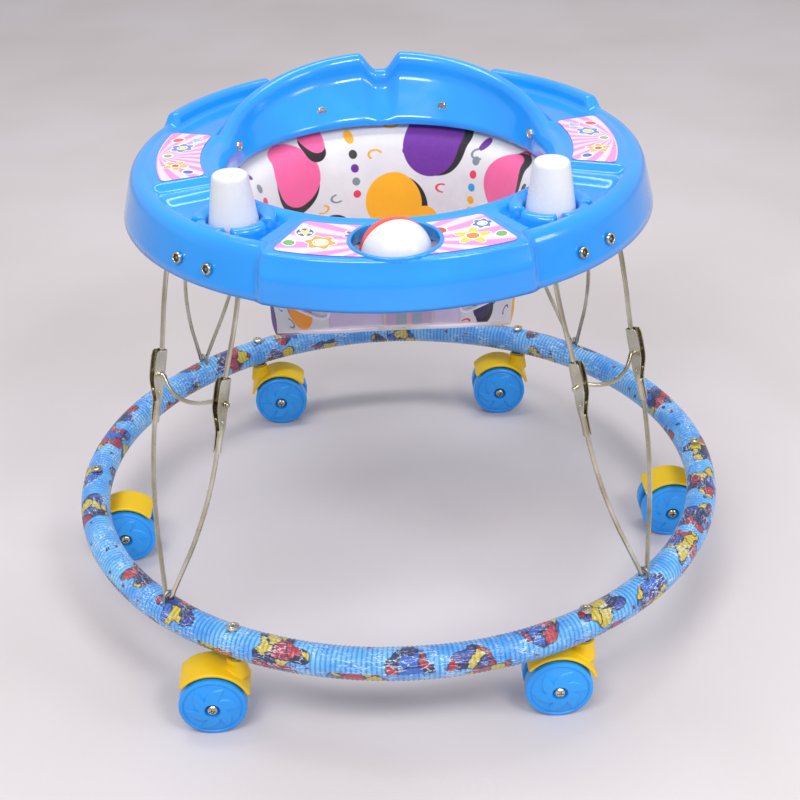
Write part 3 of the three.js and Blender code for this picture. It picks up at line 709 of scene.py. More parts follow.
def build_sleeve():
    """Ribbed sleeve round the tube, open at a seam at the rear, with a slow waver in its girth."""
    rows = RIB_COUNT * RIB_STEPS
    turns = np.linspace(90 + SEAM_ANGLE, 450 - SEAM_ANGLE, rows)
    points = []
    for i, turn in enumerate(turns):
        wave = 0.5 - 0.5 * math.cos(2 * math.pi * i / RIB_STEPS)
        waver = 0.25 * math.sin(math.radians(turn) * 11) * math.sin(math.radians(turn) * 4.3)
        radius = SLEEVE_RADIUS - RIB_DEPTH * wave - 0.25 + waver
        for side in range(SLEEVE_SIDES):
            angle = 2 * math.pi * side / SLEEVE_SIDES
            points.append(polar(RING_RADIUS + radius * math.cos(angle), turn,
                                RING_HEIGHT + radius * math.sin(angle)))
    faces = grid_faces(rows, SLEEVE_SIDES, False, True)
    step = 2 * math.pi * RING_RADIUS / rows
    girth = 2 * math.pi * SLEEVE_RADIUS / SLEEVE_SIDES
    prints = grid_prints(rows, SLEEVE_SIDES, lambda i, j: (i * step, j * girth))
    sleeve = mesh_piece("printed_sleeve", points, faces, prints=prints, sharp=80)
    settle(sleeve, "frame", "printed_sleeve", sleeve_look(), "tube_sleeve")


def build_tube(steel):
    """Steel tube inside the sleeve, with the four eyes that the legs turn in."""
    inner = SLEEVE_RADIUS - 3
    parts = []
    ring = [polar(RING_RADIUS, t, RING_HEIGHT) for t in np.linspace(90.2, 449.8, 240)]
    parts.append(tube_mesh(ring, inner, 20))
    reach, foot = 4.6, RING_HEIGHT + inner - 1.5
    for name in LEGS:
        azimuth = math.degrees(math.atan2(*joint_place("fold_" + name)[1::-1]))
        arch = [polar(RING_RADIUS + reach, azimuth, foot)]
        arch += [polar(RING_RADIUS + reach * math.cos(t), azimuth, RING_PIVOT[2] + reach * math.sin(t))
                 for t in np.linspace(0, math.pi, 13)]
        arch.append(polar(RING_RADIUS - reach, azimuth, foot))
        parts.append(tube_mesh(arch, 1.5, 12))
    points, faces = joined(*parts)
    settle(mesh_piece("steel_ring_tube", points, faces), "frame", "steel_tube", steel, "base_tube")


# ---------------------------------------------------------------- casters

BLADES = 6
FACE_DOME = 3.6


def wheel_face_height(radius, turn):
    """How far a wheel's outer face stands out at a radius and a turn, with its six curved blades."""
    rim_line = 0.875 * WHEEL_RADIUS
    if radius > rim_line:
        return WHEEL_FACE + 1.4 * (1 - smoothstep(radius, 26.0, WHEEL_RADIUS))
    dome = WHEEL_FACE + 0.9 + FACE_DOME * (1 - (radius / rim_line) ** 2)
    share = (turn / (2 * math.pi) * BLADES) % 1.0
    blade = 11.2 + 11.6 * share ** 0.85
    radial_edge = smoothstep(share, 0.0, 0.05)
    relief = 1.2 * (1 - smoothstep(radius, blade - 0.4, blade + 0.4)) * radial_edge
    relief += 1.2 * (1 - radial_edge) * (1 - smoothstep(radius, 10.8, 11.8))
    groove = -0.6 * (1 - smoothstep(abs(radius - rim_line + 0.6), 0.2, 0.9))
    return dome + relief * (1 - smoothstep(radius, 22.4, 23.6)) + groove


def wheel_half(side):
    """One wheel of a pair, from its hub hole over the face and tread to its inner side."""
    steps = 216
    well = 6.8
    radii = list(np.arange(well, 25.4, 0.42)) + [25.8, 26.4, 27.1, 27.7, 28.1, 28.35]
    rows = [(2.4, lambda t: WHEEL_FACE + 1.2), (5.7, lambda t: WHEEL_FACE + 1.2),
            (6.2, lambda t: WHEEL_FACE + 1.8)]
    rows += [(r, lambda t, r=r: wheel_face_height(r, t)) for r in radii]
    rows += [(WHEEL_RADIUS, lambda t, y=y: y) for y in (15.6, 14.0, 10.0, 7.0, 6.0)]
    rows += [(28.1, lambda t: WHEEL_GAP + 0.3), (27.4, lambda t: WHEEL_GAP), (24.5, lambda t: WHEEL_GAP),
             (24.0, lambda t: WHEEL_GAP + 2.5), (9.0, lambda t: WHEEL_GAP + 2.5),
             (8.4, lambda t: WHEEL_GAP), (5.0, lambda t: WHEEL_GAP - 0.1), (5.0, lambda t: 0.0)]
    points = []
    for radius, height in rows:
        for turn in np.linspace(0, 2 * math.pi, steps, endpoint=False):
            points.append((radius * math.cos(turn) * side, side * height(turn), radius * math.sin(turn)))
    return np.array(points), grid_faces(len(rows), steps, False, True)


def build_wheels(place):
    points, faces = joined(wheel_half(-1), wheel_half(1))
    return mesh_piece("wheel_pair", points, faces, place, sharp=60)


def build_axle(place):
    """Axle with a cross-head screw at each end, seated in the wheels' hub wells."""
    seat = WHEEL_FACE + 1.3
    screw = screw_head(4.7, AXLE_HALF - 0.6 - seat)
    ends = []
    for side in (-1, 1):
        turn = np.array(Matrix.Rotation(math.radians(-90 * side), 3, "X"))
        ends.append((screw[0] @ turn.T + np.array((0, side * seat, 0)), screw[1]))
    shaft = lathe_mesh([(0, -seat), (2.1, -seat), (2.1, seat), (0, seat)], 24, "y")
    points, faces = joined(shaft, *ends)
    return mesh_piece("axle", points, faces, place, sharp=35)


def build_housing():
    """Fender, stem boss and web, blended into one moulding with soft inner corners."""
    wheel = np.array((-TRAIL, 0, WHEEL_RADIUS))
    inner, outer, half = 30.8, 33.8, 16.0
    section = rounded([(inner, -half), (outer, -half), (outer, half), (inner, half)],
                      1.2, 4, closed=True, fill=6)
    angles = np.radians(np.linspace(18.5, 141.5, 48))
    fender = [(r * math.cos(a), y, r * math.sin(a)) for a in angles for r, y in section]
    fender = np.array(fender) + wheel
    count = len(section)
    caps = [tuple(range(count)), tuple(range(len(fender) - count, len(fender)))]
    fender = (fender, grid_faces(len(angles), count, False, True) + caps)
    boss = lathe_mesh([(0, 50), (8.5, 50), (8.5, HOUSING_TOP - 1), (7.8, HOUSING_TOP), (0, HOUSING_TOP)], 48)
    flare = lathe_mesh([(0, 51), (10.4, 51), (9.4, 56), (8.6, 61.0), (0, 61.0)], 48)
    web_line = [(-TRAIL - 9, 23.5), (-TRAIL + 9, 23.5), (-TRAIL + 14, 55.5), (-TRAIL, 60), (-TRAIL - 9, 58)]
    web = [(x, y, z) for y in (-4.2, 4.2) for x, z in web_line]
    web = (np.array(web), grid_faces(2, 5, False, True) + [tuple(range(5)), tuple(range(5, 10))])
    points, faces = joined(fender, boss, flare, web)
    housing = mesh_piece("housing", points, faces)
    clean_flare(housing, wheel, inner)
    applied(housing, ("REMESH", {"mode": "VOXEL", "voxel_size": 0.7 * MM}),
            ("SMOOTH", {"factor": 0.5, "iterations": 4}))
    bore = mesh_piece("bore", *lathe_mesh([(0, 40), (3.6, 40), (3.6, 80), (0, 80)], 32))
    applied(housing, ("BOOLEAN", {"operation": "DIFFERENCE", "object": bore, "solver": "EXACT"}))
    bpy.data.objects.remove(bore)
    housing.data.shade_smooth()
    return housing


def clean_flare(housing, wheel, inner):
    """Keeps the boss's flare out of the wheels' space by lifting its points onto the fender."""
    for vertex in housing.data.vertices:
        offset = np.array(vertex.co) / MM - wheel
        reach = math.hypot(offset[0], offset[2])
        if abs(offset[1]) > 5 and reach < inner:
            vertex.co.x = (wheel[0] + offset[0] * inner / reach) * MM
            vertex.co.z = (wheel[2] + offset[2] * inner / reach) * MM


def build_bolt():
    """Caster bolt: cross head on the sleeve, shank, bright washer and nut."""
    washer = RING_HEIGHT - SLEEVE_RADIUS - 0.3
    head_foot = RING_HEIGHT + SLEEVE_RADIUS + 0.3
    head = moved(screw_head(5.2, BOLT_TOP - head_foot), (0, 0, head_foot))
    shank = lathe_mesh([(0, 55), (4.4, 55), (4.4, 58.4), (2.8, 58.6), (2.8, head_foot + 0.4),
                        (0, head_foot + 0.4)], 32)
    disc = lathe_mesh(rounded([(3.0, washer - 1.2), (6.5, washer - 1.2), (6.5, washer), (3.0, washer)],
                              0.4, 2, closed=True), 40, closed=True)
    points, faces = joined(head, shank, disc)
    return mesh_piece("bolt", points, faces, sharp=35)


def build_casters(looks):
    wheel_place = Matrix.Translation((-TRAIL, 0, WHEEL_RADIUS))
    parts = {
        "caster_bolt": (build_bolt(), "frame", "nickel_plate", looks["nickel"]),
        "caster_housing": (build_housing(), "swivel_", "housing_plastic", looks["yellow"]),
        "caster_axle": (build_axle(wheel_place), "swivel_", "nickel_plate", looks["nickel"]),
        "caster_wheels": (build_wheels(wheel_place), "wheels_", "wheel_plastic", looks["wheel"]),
    }
    for name in CASTERS:
        swivel = centre_mm("caster_bolt_" + name)
        wheel = centre_mm("caster_wheels_" + name)
        swivel = (RING_RADIUS / math.hypot(*swivel[:2])) * swivel
        turn = math.pi if wheel[0] > swivel[0] else 0.0
        matrix = Matrix.Translation((swivel[0] * MM, swivel[1] * MM, 0)) @ Matrix.Rotation(turn, 4, "Z")
        for kind, (pattern, body, slot, look) in parts.items():
            piece = copy_of(pattern, f"{kind}_detail_{name}", matrix)
            settle(piece, body if body == "frame" else body + name, slot, look, f"{kind}_{name}")
    for pattern, *_ in parts.values():
        bpy.data.objects.remove(pattern)


# ---------------------------------------------------------------- folding legs

def mirrored(half):
    return [(0, y, z) for y, z in half] + [(0, -y, z) for y, z in half[::-1] if y > 0]


def lower_wire_path():
    w = KNEE_HALF_WIDTH
    return smooth_path(mirrored([
        (w, LOWER_LEG - 24), (w, LOWER_LEG - 46), (w - 4.5, 100), (24, 60), (12.5, 26),
        (6.5, 9), (4, 2), (0, 0)]), 8)


def upper_wire_path():
    w, top = KNEE_HALF_WIDTH, LEG_LENGTH
    return smooth_path(mirrored([
        (w + 6.4, LOWER_LEG), (w + 2.6, LOWER_LEG), (w + 0.4, LOWER_LEG + 1.6), (w, LOWER_LEG + 5),
        (w, LOWER_LEG + 22), (w + 3, LOWER_LEG + 60), (w + 3, top - 12), (w, top - 3.5),
        (w - 7, top), (0, top)]), 8)


def bow_path():
    tip = KNEE_HALF_WIDTH - WIRE_RADIUS - 0.5
    spread = tip - 4
    sides = np.concatenate([[tip], np.linspace(spread, -spread, 25), [-tip]])
    sags = [0 if abs(y) > spread else 9 * (1 - (y / spread) ** 2) for y in sides]
    return np.array([(0.8 * sag, y, LOWER_LEG - sag) for y, sag in zip(sides, sags)])


def knee_bracket(side):
    """Pressed bracket: a tube crimped on the lower wire that opens into a leaf-shaped channel."""
    bottom, tube_top, top = LOWER_LEG - 42, LOWER_LEG - 22, LOWER_LEG + 21
    mid = 3.15
    stations = [(bottom, 0), (bottom + 1, 0), (bottom + 8, 0), (tube_top - 5, 0), (tube_top - 3, 1.5),
                (tube_top, 2.6), (LOWER_LEG - 13, 5), (LOWER_LEG - 7, 7.2), (LOWER_LEG - 2, 8),
                (LOWER_LEG + 8, 8), (top - 5, 7.8), (top - 2, 7.2), (top, 6.2)]
    columns = 26
    points = []
    for z, depth in stations:
        blend = smoothstep(z, tube_top - 6, tube_top + 3)
        crimp = 1 - 0.1 * within(z, bottom + 5, bottom + 12, 2)
        for s in np.linspace(-1, 1, columns):
            angle = 0.93 * math.pi * s
            tube_point = np.array((-mid * math.cos(angle) * crimp, mid * math.sin(angle)))
            run = abs(s) * (mid + mid + max(depth, 0.5))
            x, y = (-mid, run) if run < mid else (-mid + (run - mid), mid)
            channel = np.array((x, math.copysign(y, s)))
            spot = (1 - blend) * tube_point + blend * channel
            points.append((spot[0], spot[1] + side * KNEE_HALF_WIDTH, z))
    faces = grid_faces(len(stations), columns)
    bracket = mesh_piece(f"bracket_{side}", points, faces)
    applied(bracket, ("SOLIDIFY", {"thickness": 0.95 * MM, "offset": 0.0}),
            ("BEVEL", {"width": 0.22 * MM, "segments": 2, "limit_method": "ANGLE"}),
            ("SUBSURF", {"levels": 1, "render_levels": 1}))
    stop = tube_mesh([(1, side * KNEE_HALF_WIDTH + y, LOWER_LEG - 15) for y in (-4.1, 0, 4.1)], 1.3, 16)
    rivet = moved(lathe_mesh([(0, 3.7), (1.9, 3.75), (2.6, 4.1), (2.2, 4.7), (0, 5.0)], 24, "y"),
                  (0, side * KNEE_HALF_WIDTH, LOWER_LEG))
    extra = mesh_piece("stop", *joined(stop, rivet))
    return join_pieces(bracket, extra)


def join_pieces(first, *others):
    """Several pieces made one mesh."""
    build = bmesh.new()
    for piece in (first, *others):
        build.from_mesh(piece.data)
    build.to_mesh(first.data)
    build.free()
    for piece in others:
        bpy.data.objects.remove(piece)
    first.data.set_sharp_from_angle(angle=math.radians(45))
    return first


def build_legs(nickel):
    patterns = {
        "lower_wire": (tube("lower", lower_wire_path(), WIRE_RADIUS, sides=16), "lower_leg_"),
        "knee_bracket_a": (knee_bracket(1), "lower_leg_"),
        "knee_bracket_b": (knee_bracket(-1), "lower_leg_"),
        "knee_bow": (tube("bow", bow_path(), 1.75), "lower_leg_"),
        "upper_wire": (tube("upper", upper_wire_path(), WIRE_RADIUS, sides=16), "upper_leg_"),
    }
    for name in LEGS:
        pivot = joint_place("fold_" + name)
        azimuth = math.degrees(math.atan2(pivot[1], pivot[0]))
        matrix = turned_to(azimuth, PIVOT_RADIUS * MM, pivot[2] * MM, -LEG_LEAN)
        for kind, (pattern, body) in patterns.items():
            piece = copy_of(pattern, f"{kind}_detail_{name}", matrix)
            settle(piece, body + name, "nickel_plate", nickel, f"{kind}_{name}")
    for pattern, _ in patterns.values():
        bpy.data.objects.remove(pattern)


# ---------------------------------------------------------------- tray

def tray_section(azimuth):
    """The outside of the tray at one azimuth, from the skirt's foot over the deck to the opening."""
    front = 1 - smoothstep(away_from(azimuth, -90), 26.2, 28.6)
    from_side = min(away_from(azimuth, 0), away_from(azimuth, 180))
    from_back = away_from(azimuth, 90)
    pad = 1 - smoothstep(from_side, 18, 20.6)
    lip = within(from_side, 17.6, 19.6, 0.8) * (azimuth % 360 > 180)
    pocket = within(away_from(azimuth, -90), 32.5, 65, 2)
    wing = within(from_back, 30, 65.5, 1.6)
    back = (0.5 + 0.5 * math.cos(math.pi * min(1, from_back / BACKREST_REACH))) ** 0.55
    notch = 1 - smoothstep(from_back, 1.2, 6.8)
    edge = EDGE_RADIUS + 11 * front
    edge_height = EDGE_HEIGHT + 9 * wing - 2 * front
    deck = (DECK_HEIGHT + (PAD_HEIGHT - DECK_HEIGHT) * pad + 1.2 * lip
            + (POCKET_HEIGHT - DECK_HEIGHT) * pocket + (PANEL_HEIGHT - DECK_HEIGHT) * front)
    crest = RIM_RADIUS + BACKREST_LEAN * back
    crest_height = EDGE_HEIGHT + BACKREST_RISE * back - NOTCH_DEPTH * notch
    deck_outer = edge - 17 + 8 * front
    deck_inner = min(crest + 12, deck_outer - 12)
    middle = (deck_outer + deck_inner) / 2
    ridge = 2.4 * smoothstep(back, 0.15, 0.6)
    return [
        (SKIRT_RADIUS + 3 * front, SKIRT_BOTTOM),
        (edge + 1.5, EDGE_HEIGHT - 6 - 12 * front),
        (edge - 2 - 2 * front, edge_height - 1 - 3 * front),
        (edge - 7 + front, edge_height + 1),
        (edge - 13 + 5 * front, edge_height),
        (deck_outer, deck),
        (middle, deck),
        (deck_inner, deck),
        (crest + 7, crest_height - 1.5),
        (crest, crest_height),
        (crest - 5, crest_height - 5),
        (crest - 8 + 0.6 * ridge, crest_height - 5 - 0.3 * (crest_height - 5 - WALL_BOTTOM)),
        (OPENING_RADIUS, WALL_BOTTOM),
    ]


def round_hole(points, faces, centre, radius, cell, lowest=0.0, highest=math.inf):
    """Moves points near a round vertical hole onto its edge, and says which faces stay outside it."""
    offset = points[:, :2] - np.array(centre)
    reach = np.linalg.norm(offset, axis=1)
    cut = (points[:, 2] > lowest) & (points[:, 2] < highest)
    deep = cut & (reach < radius - cell)
    near = cut & (reach >= radius - cell) & (reach < radius)
    points[near, :2] = np.array(centre) + offset[near] * (radius / reach[near])[:, None]
    return [not any(deep[i] for i in face) for face in faces]


def chosen(items, kept):
    return [item for item, keep in zip(items, kept) if keep]


def build_tray(plastic):
    steps = 760
    sections = []
    for azimuth in np.linspace(-180, 180, steps, endpoint=False):
        line = rounded(tray_section(azimuth), 4.2, 4, fill=5)
        sections.append([polar(r, azimuth, z) for r, z in line])
    columns = len(sections[0])
    points = np.array(sections).reshape(-1, 3)
    faces = grid_faces(steps, columns, True)
    kept = round_hole(points, faces, BALL_CENTRE[:2], BALL_HOLE, 2.4, lowest=EDGE_HEIGHT - 15)
    faces = chosen(faces, kept)
    tray = mesh_piece("tray_shell", points, faces, sharp=60)
    drop_loose(tray)
    applied(tray, ("SOLIDIFY", {"thickness": TRAY_WALL * MM, "offset": outward_sign(tray)}))
    tray.data.shade_smooth()
    settle(tray, "tray", "tray_plastic", plastic, "play_tray")
    return tray


def drop_loose(piece):
    build = bmesh.new()
    build.from_mesh(piece.data)
    bmesh.ops.delete(build, geom=[v for v in build.verts if not v.link_faces], context="VERTS")
    build.to_mesh(piece.data)
    build.free()


def outward_sign(piece):
    """Solidify offset that thickens a shell away from its outer face, whichever way that faces."""
    highest = max(piece.data.polygons, key=lambda face: face.center.z)
    return -1.0 if highest.normal.z > 0 else 1.0


def build_tray_fittings(plastic):
    """Collar round the ball's hole and the five petals round each cone."""
    hole = BALL_HOLE
    profile = rounded([(hole - 1.6, PANEL_HEIGHT - 9), (hole - 1.6, PANEL_HEIGHT + 2),
                       (hole + 1.6, PANEL_HEIGHT + 2), (hole + 2.2, PANEL_HEIGHT - 1),
                       (hole + 0.4, PANEL_HEIGHT - 9)], 1.2, 4, closed=True)
    collar = mesh_piece("ball_collar", *lathe_mesh(profile, 120, closed=True),
                        Matrix.Translation((BALL_CENTRE[0], BALL_CENTRE[1], 0)))
    settle(collar, "tray", "tray_plastic", plastic)
    for name, azimuth in CONE_AZIMUTHS.items():
        petals = petal_ring("petals_" + name[5:], turned_to(azimuth, CONE_RING))
        settle(petals, "tray", "tray_plastic", plastic)


def petal_ring(name, place):
    """Five rounded tongues round a cone, with narrow V gaps between them."""
    inner, reach, foot = 21.7, 12.0, POCKET_HEIGHT - 1.5
    profile = [(0, 0), (0, 7.6), (0.06, 9.0), (0.2, 10.4), (0.45, 11.4), (0.7, 11.4), (0.86, 10.6),
               (0.96, 8.8), (1.0, 6.6), (1.0, 0)]
    turns = np.linspace(0, 2 * math.pi, 240, endpoint=False)
    points = []
    for out, height in profile:
        for turn in turns:
            gap = abs(math.cos(2.5 * turn))
            lobe = smoothstep(gap, 0.1, 0.55)
            length = reach * (0.42 + 0.58 * lobe)
            level = height * (0.1 + 0.9 * smoothstep(gap, 0.08, 0.3))
            radius = inner + out * length
            points.append((radius * math.cos(turn), radius * math.sin(turn), foot + level))
    return mesh_piece(name, points, grid_faces(len(profile), 240, True, True), place, sharp=70)


def rivet_rim(radius, height):
    """Points and faces of a rivet's plated rim, standing out along X."""
    profile = [(0.6 * radius, -0.6), (0.6 * radius, 0.5 * height), (0.72 * radius, 0.95 * height),
               (0.86 * radius, height), (0.97 * radius, 0.7 * height), (radius, 0.1 * height), (radius, -0.6)]
    return lathe_mesh(profile, 32, "x", closed=True)


def rivet_face(radius, height):
    """Points and faces of the dished middle of a rivet."""
    profile = [(0, 0.42 * height), (0.4 * radius, 0.47 * height), (0.66 * radius, 0.75 * height),
               (0.66 * radius, -0.5), (0, -0.5)]
    return lathe_mesh(profile, 32, "x")


def build_rivets(nickel, dark):
    """Leg rivets on the skirt, and seat rivets on the wall round the opening."""
    slope = math.atan2(SKIRT_RADIUS - EDGE_RADIUS, EDGE_HEIGHT - SKIRT_BOTTOM)
    for name in LEGS:
        pivot = joint_place("fold_" + name)
        azimuth = math.degrees(math.atan2(pivot[1], pivot[0]))
        place = turned_to(azimuth, TRAY_PIVOT_RADIUS, TRAY_PIVOT[2], -slope)
        # the dished middles of the leg rivets take the near-black painted shade material
        for kind, shape, look in (("rims", rivet_rim, nickel), ("faces", rivet_face, dark)):
            heads = [moved(shape(4.7, 2.0), (12.2, offset, 2)) for offset in (-17, 17)]
            rivets = mesh_piece(f"skirt_rivet_{kind}_{name}", *joined(*heads), place, sharp=35)
            settle(rivets, "tray", "nickel_plate", look)
    heads = []
    for azimuth in np.arange(-157.5, 180, 45):
        turn = np.array(Matrix.Rotation(math.radians(azimuth + 180), 3, "Z"))
        line = rounded(tray_section(azimuth), 4.2, 4, fill=5)[::-1][:12]
        spot = polar(float(np.interp(SEAT_RIVET_HEIGHT, line[:, 1], line[:, 0])), azimuth, SEAT_RIVET_HEIGHT)
        for shape in (rivet_rim, rivet_face):
            head = shape(4.3, 1.6)
            heads.append((head[0] @ turn.T + spot, head[1]))
    rivets = mesh_piece("seat_rivets", *joined(*heads), sharp=35)
    settle(rivets, "tray", "nickel_plate", nickel)


def rounded_sector(half_width, inner, outer, corner, columns, rows):
    """Grid of (tangent, radius) places over a sector with rounded corners."""
    grid = []
    for i in range(rows):
        v = -1 + 2 * i / (rows - 1)
        radius = (inner + outer) / 2 + v * (outer - inner) / 2
        inset = (1 - abs(v)) * (outer - inner) / 2
        shrink = 0.0 if inset > corner else corner - math.sqrt(max(0.0, corner ** 2 - (corner - inset) ** 2))
        reach = half_width * radius / ((inner + outer) / 2) - shrink
        grid.append([(reach * (-1 + 2 * j / (columns - 1)), radius) for j in range(columns)])
    return grid


def build_sticker(name, node, azimuth, half_angle, inner, outer, look, hole=None):
    """A thin label on the tray's deck with rounded corners."""
    height = box_mm(node)[0][2]
    half_width = math.radians(half_angle) * (inner + outer) / 2
    rows, columns = 90, 110
    grid = rounded_sector(half_width, inner, outer, 5.0, columns, rows)
    points, flats = [], []
    for row in grid:
        for tangent, radius in row:
            points.append(polar(radius, azimuth + math.degrees(tangent / radius), height))
            flats.append((tangent, radius))
    points = np.array(points)
    faces = grid_faces(rows, columns)
    if hole:
        faces = chosen(faces, round_hole(points, faces, BALL_CENTRE[:2], hole, 1.2))
    prints = [[flats[i] for i in face] for face in faces]
    sticker = mesh_piece(name, points, faces, prints=prints)
    drop_loose(sticker)
    applied(sticker, ("SOLIDIFY", {"thickness": 0.5 * MM, "offset": -outward_sign(sticker)}))
    settle(sticker, "tray", "sticker_film", look, node)


def build_stickers():
    def pad_shapes(side):
        return [("star", (-side * 24, 181), 9.0, "#f6b92a"), ("disc", (-side * 24, 181), 3.0, "#e0503a"),
                ("disc", (-side * 40, 172), 4.0, "#3a6fd0"), ("flower", (side * 18, 178), 9.5, "#5a8ee0"),
                ("disc", (side * 18, 178), 3.4, "#f7e04a"), ("disc", (side * 38, 186), 4.5, "#e85a5a"),
                ("star", (side * 36, 170), 5.0, "#8cc8f0"), ("disc", (0, 188), 3.5, "#7cc46a")]

    for name, side in (("left", -1), ("right", 1)):
        look = sticker_look("sticker_pad_" + name, (0, 196), pad_shapes(side))
        build_sticker("label_" + name, "sticker_" + name, 180 if side < 0 else 0, 17, 160, 197, look)
    front = {
        "left": [("flower", (-14, 196), 11.5, "#f0a83c"), ("disc", (-14, 196), 5.0, "#fff3c8"),
                 ("disc", (-30, 181), 7.0, "#3f63b8"), ("star", (-30, 181), 4.2, "#f7e04a"),
                 ("star", (8, 178), 6.5, "#8a5a34"), ("disc", (-38, 202), 4.5, "#6cb65a")],
        "right": [("star", (16, 196), 12.5, "#f5cf3a"), ("disc", (16, 196), 5.0, "#f08a3c"),
                  ("disc", (-6, 178), 6.0, "#e0403a"), ("flower", (30, 178), 8.0, "#4a78d0"),
                  ("disc", (30, 178), 3.0, "#ffffff"), ("disc", (38, 202), 4.5, "#6cb65a")],
    }
    for name, middle in (("left", -102.7), ("right", -77.3)):
        look = sticker_look("sticker_front_look_" + name, (42 if name == "left" else -42, 188), front[name])
        build_sticker("label_front_" + name, "sticker_front_" + name, middle, 12.6, 160.5, 217, look,
                      hole=BALL_HOLE + 1.9)


# ---------------------------------------------------------------- toys

def build_ball(white, orange):
    """Two shells with a fine parting line, the rear one just showing over the front one."""
    turn = np.array(Matrix.Rotation(math.radians(14), 3, "Z"))
    place = Matrix.Translation(BALL_CENTRE)
    gap = 0.25
    halves = (("ball_front", -1, white, "white_plastic"), ("ball_rear", 1, orange, "orange_plastic"))
    for name, side, look, slot in halves:
        outer = [(BALL_RADIUS * math.cos(a), side * max(gap, BALL_RADIUS * math.sin(a)))
                 for a in np.linspace(0, math.pi / 2, 40)]
        lip = [(BALL_RADIUS - 0.5, side * gap)]
        outer[0] = (BALL_RADIUS - 0.12, side * (gap + 0.1))
        shell = BALL_RADIUS - 2
        inside = [(shell * math.cos(a), side * max(gap, shell * math.sin(a)))
                  for a in np.linspace(math.pi / 2, 0, 24)]
        shell_points, shell_faces = lathe_mesh(inside + lip + outer, 96, "y")
        parts = [(shell_points @ turn.T, shell_faces)]
        if side > 0:
            for end in (-1, 1):
                pin = [(end * (BALL_RADIUS + reach), 0, 0) for reach in (-1.5, 6, 12)]
                parts.append(tube_mesh(pin, 2.0, 20))
        ball = mesh_piece(name, *joined(*parts), place, sharp=60)
        settle(ball, "ball", slot, look, "ball_half_" + name[5:])


def build_cones(white):
    """Hollow spinning cones with a soft shoulder and a slightly dished top."""
    foot = POCKET_HEIGHT + 0.6
    profile = rounded([(18.3, foot), (20.5, foot), (14.2, CONE_TOP - 1.2), (11, CONE_TOP),
                       (4, CONE_TOP - 0.5)], 3.4, 7, fill=6)
    profile = [(18.3, foot + 1)] + [(r, z) for r, z in profile] + [(0, CONE_TOP - 0.6)]
    inner = [(0, CONE_TOP - 3.5), (10.5, CONE_TOP - 4), (12.3, CONE_TOP - 7), (18.3, foot + 1)]
    peg = lathe_mesh([(0, CONE_TOP - 3.6), (3, CONE_TOP - 3.6), (3, foot - 3.6), (4.4, foot - 4),
                      (3.4, foot - 6.5), (0, foot - 6.5)], 32)
    for name, azimuth in CONE_AZIMUTHS.items():
        shell = lathe_mesh(profile + inner, 96)
        cone = mesh_piece(name + "_detail", *joined(shell, peg), turned_to(azimuth, CONE_RING), sharp=60)
        settle(cone, name, "white_plastic", white, name)


# ---------------------------------------------------------------- seat

SEAT_LINE = [(148.6, 0), (148.6, 8), (139, 13.5), (126, 18), (118, 36), (114, 60), (113.2, 100),
             (111.8, 135), (108, 145), (98, 150.5), (70, 152.5), (35, 153.2), (0, 153.4)]


def seat_point(azimuth, share):
    """A place on the seat cloth, share running from its top edge to the middle of its floor."""
    line = SEAT_PATH
    spot = share * (len(line) - 1)
    i = min(int(spot), len(line) - 2)
    radius, drop = line[i] + (line[i + 1] - line[i]) * (spot - i)
    turn = math.radians(azimuth)
    hang = smoothstep(drop, 10, 60) * smoothstep(radius, 40, 105)
    gather = 1.1 * math.sin(9 * turn + 0.7) + 0.9 * math.sin(17 * turn + 2.1) + 0.5 * math.sin(31 * turn)
    slack = 2.2 * math.sin(3 * turn + 0.4) * math.sin(math.pi * min(1, drop / 150))
    near_top = 1 - 0.75 * smoothstep(drop, 20, 90)
    radius += hang * (0.9 * gather * near_top + 0.8 * slack) - 1.4 * hang
    place = polar(radius, azimuth, SEAT_TOP - drop)
    climb = SEAT_FLOOR + 2.2 - SEAT_SLOPE * place[1]
    if place[2] < climb:
        place[2] = climb + 0.4 * math.sin(9 * turn) * hang
    return place


SEAT_PATH = rounded(SEAT_LINE, 9.0, 5, fill=4)


def build_seat(cloth):
    """The seat's cloth: one sheet from the tray's wall down to its floor, with two leg holes."""
    steps, rows = 300, 130
    points, flats = [], []
    for i in range(rows):
        for j in range(steps):
            azimuth = -90 + 360 * j / steps
            points.append(seat_point(azimuth, i / (rows - 1)))
            flats.append(points[-1][2])
    points = np.array(points)
    heights = np.array(flats).reshape(rows, steps)
    faces = grid_faces(rows, steps, False, True)
    width = 2 * math.pi * SEAT_PRINT_RADIUS / steps
    start = -0.5 * math.pi * SEAT_PRINT_RADIUS
    prints = grid_prints(rows, steps, lambda i, j: (start + j * width, heights[i, j % steps]))
    for side in (-1, 1):
        centre = (side * LEG_HOLE_PLACE, -LEG_HOLE_PLACE)
        kept = round_hole(points, faces, centre, LEG_HOLE, 2.4, highest=LEG_HOLE_TOP)
        faces, prints = chosen(faces, kept), chosen(prints, kept)
    seat = mesh_piece("seat_cloth", points, faces, prints=prints, sharp=80)
    drop_loose(seat)
    applied(seat, ("SOLIDIFY", {"thickness": 0.9 * MM, "offset": 0.0}))
    seat.data.shade_smooth()
    settle(seat, "tray", "seat_fabric", cloth, "sling_seat")
    return seat


def seat_surface(azimuth, height):
    """A place on the seat's wall at an azimuth and a height, from a short search down the cloth."""
    best = min(np.linspace(0.1, 0.9, 160), key=lambda s: abs(seat_point(azimuth, s)[2] - height))
    return seat_point(azimuth, best)


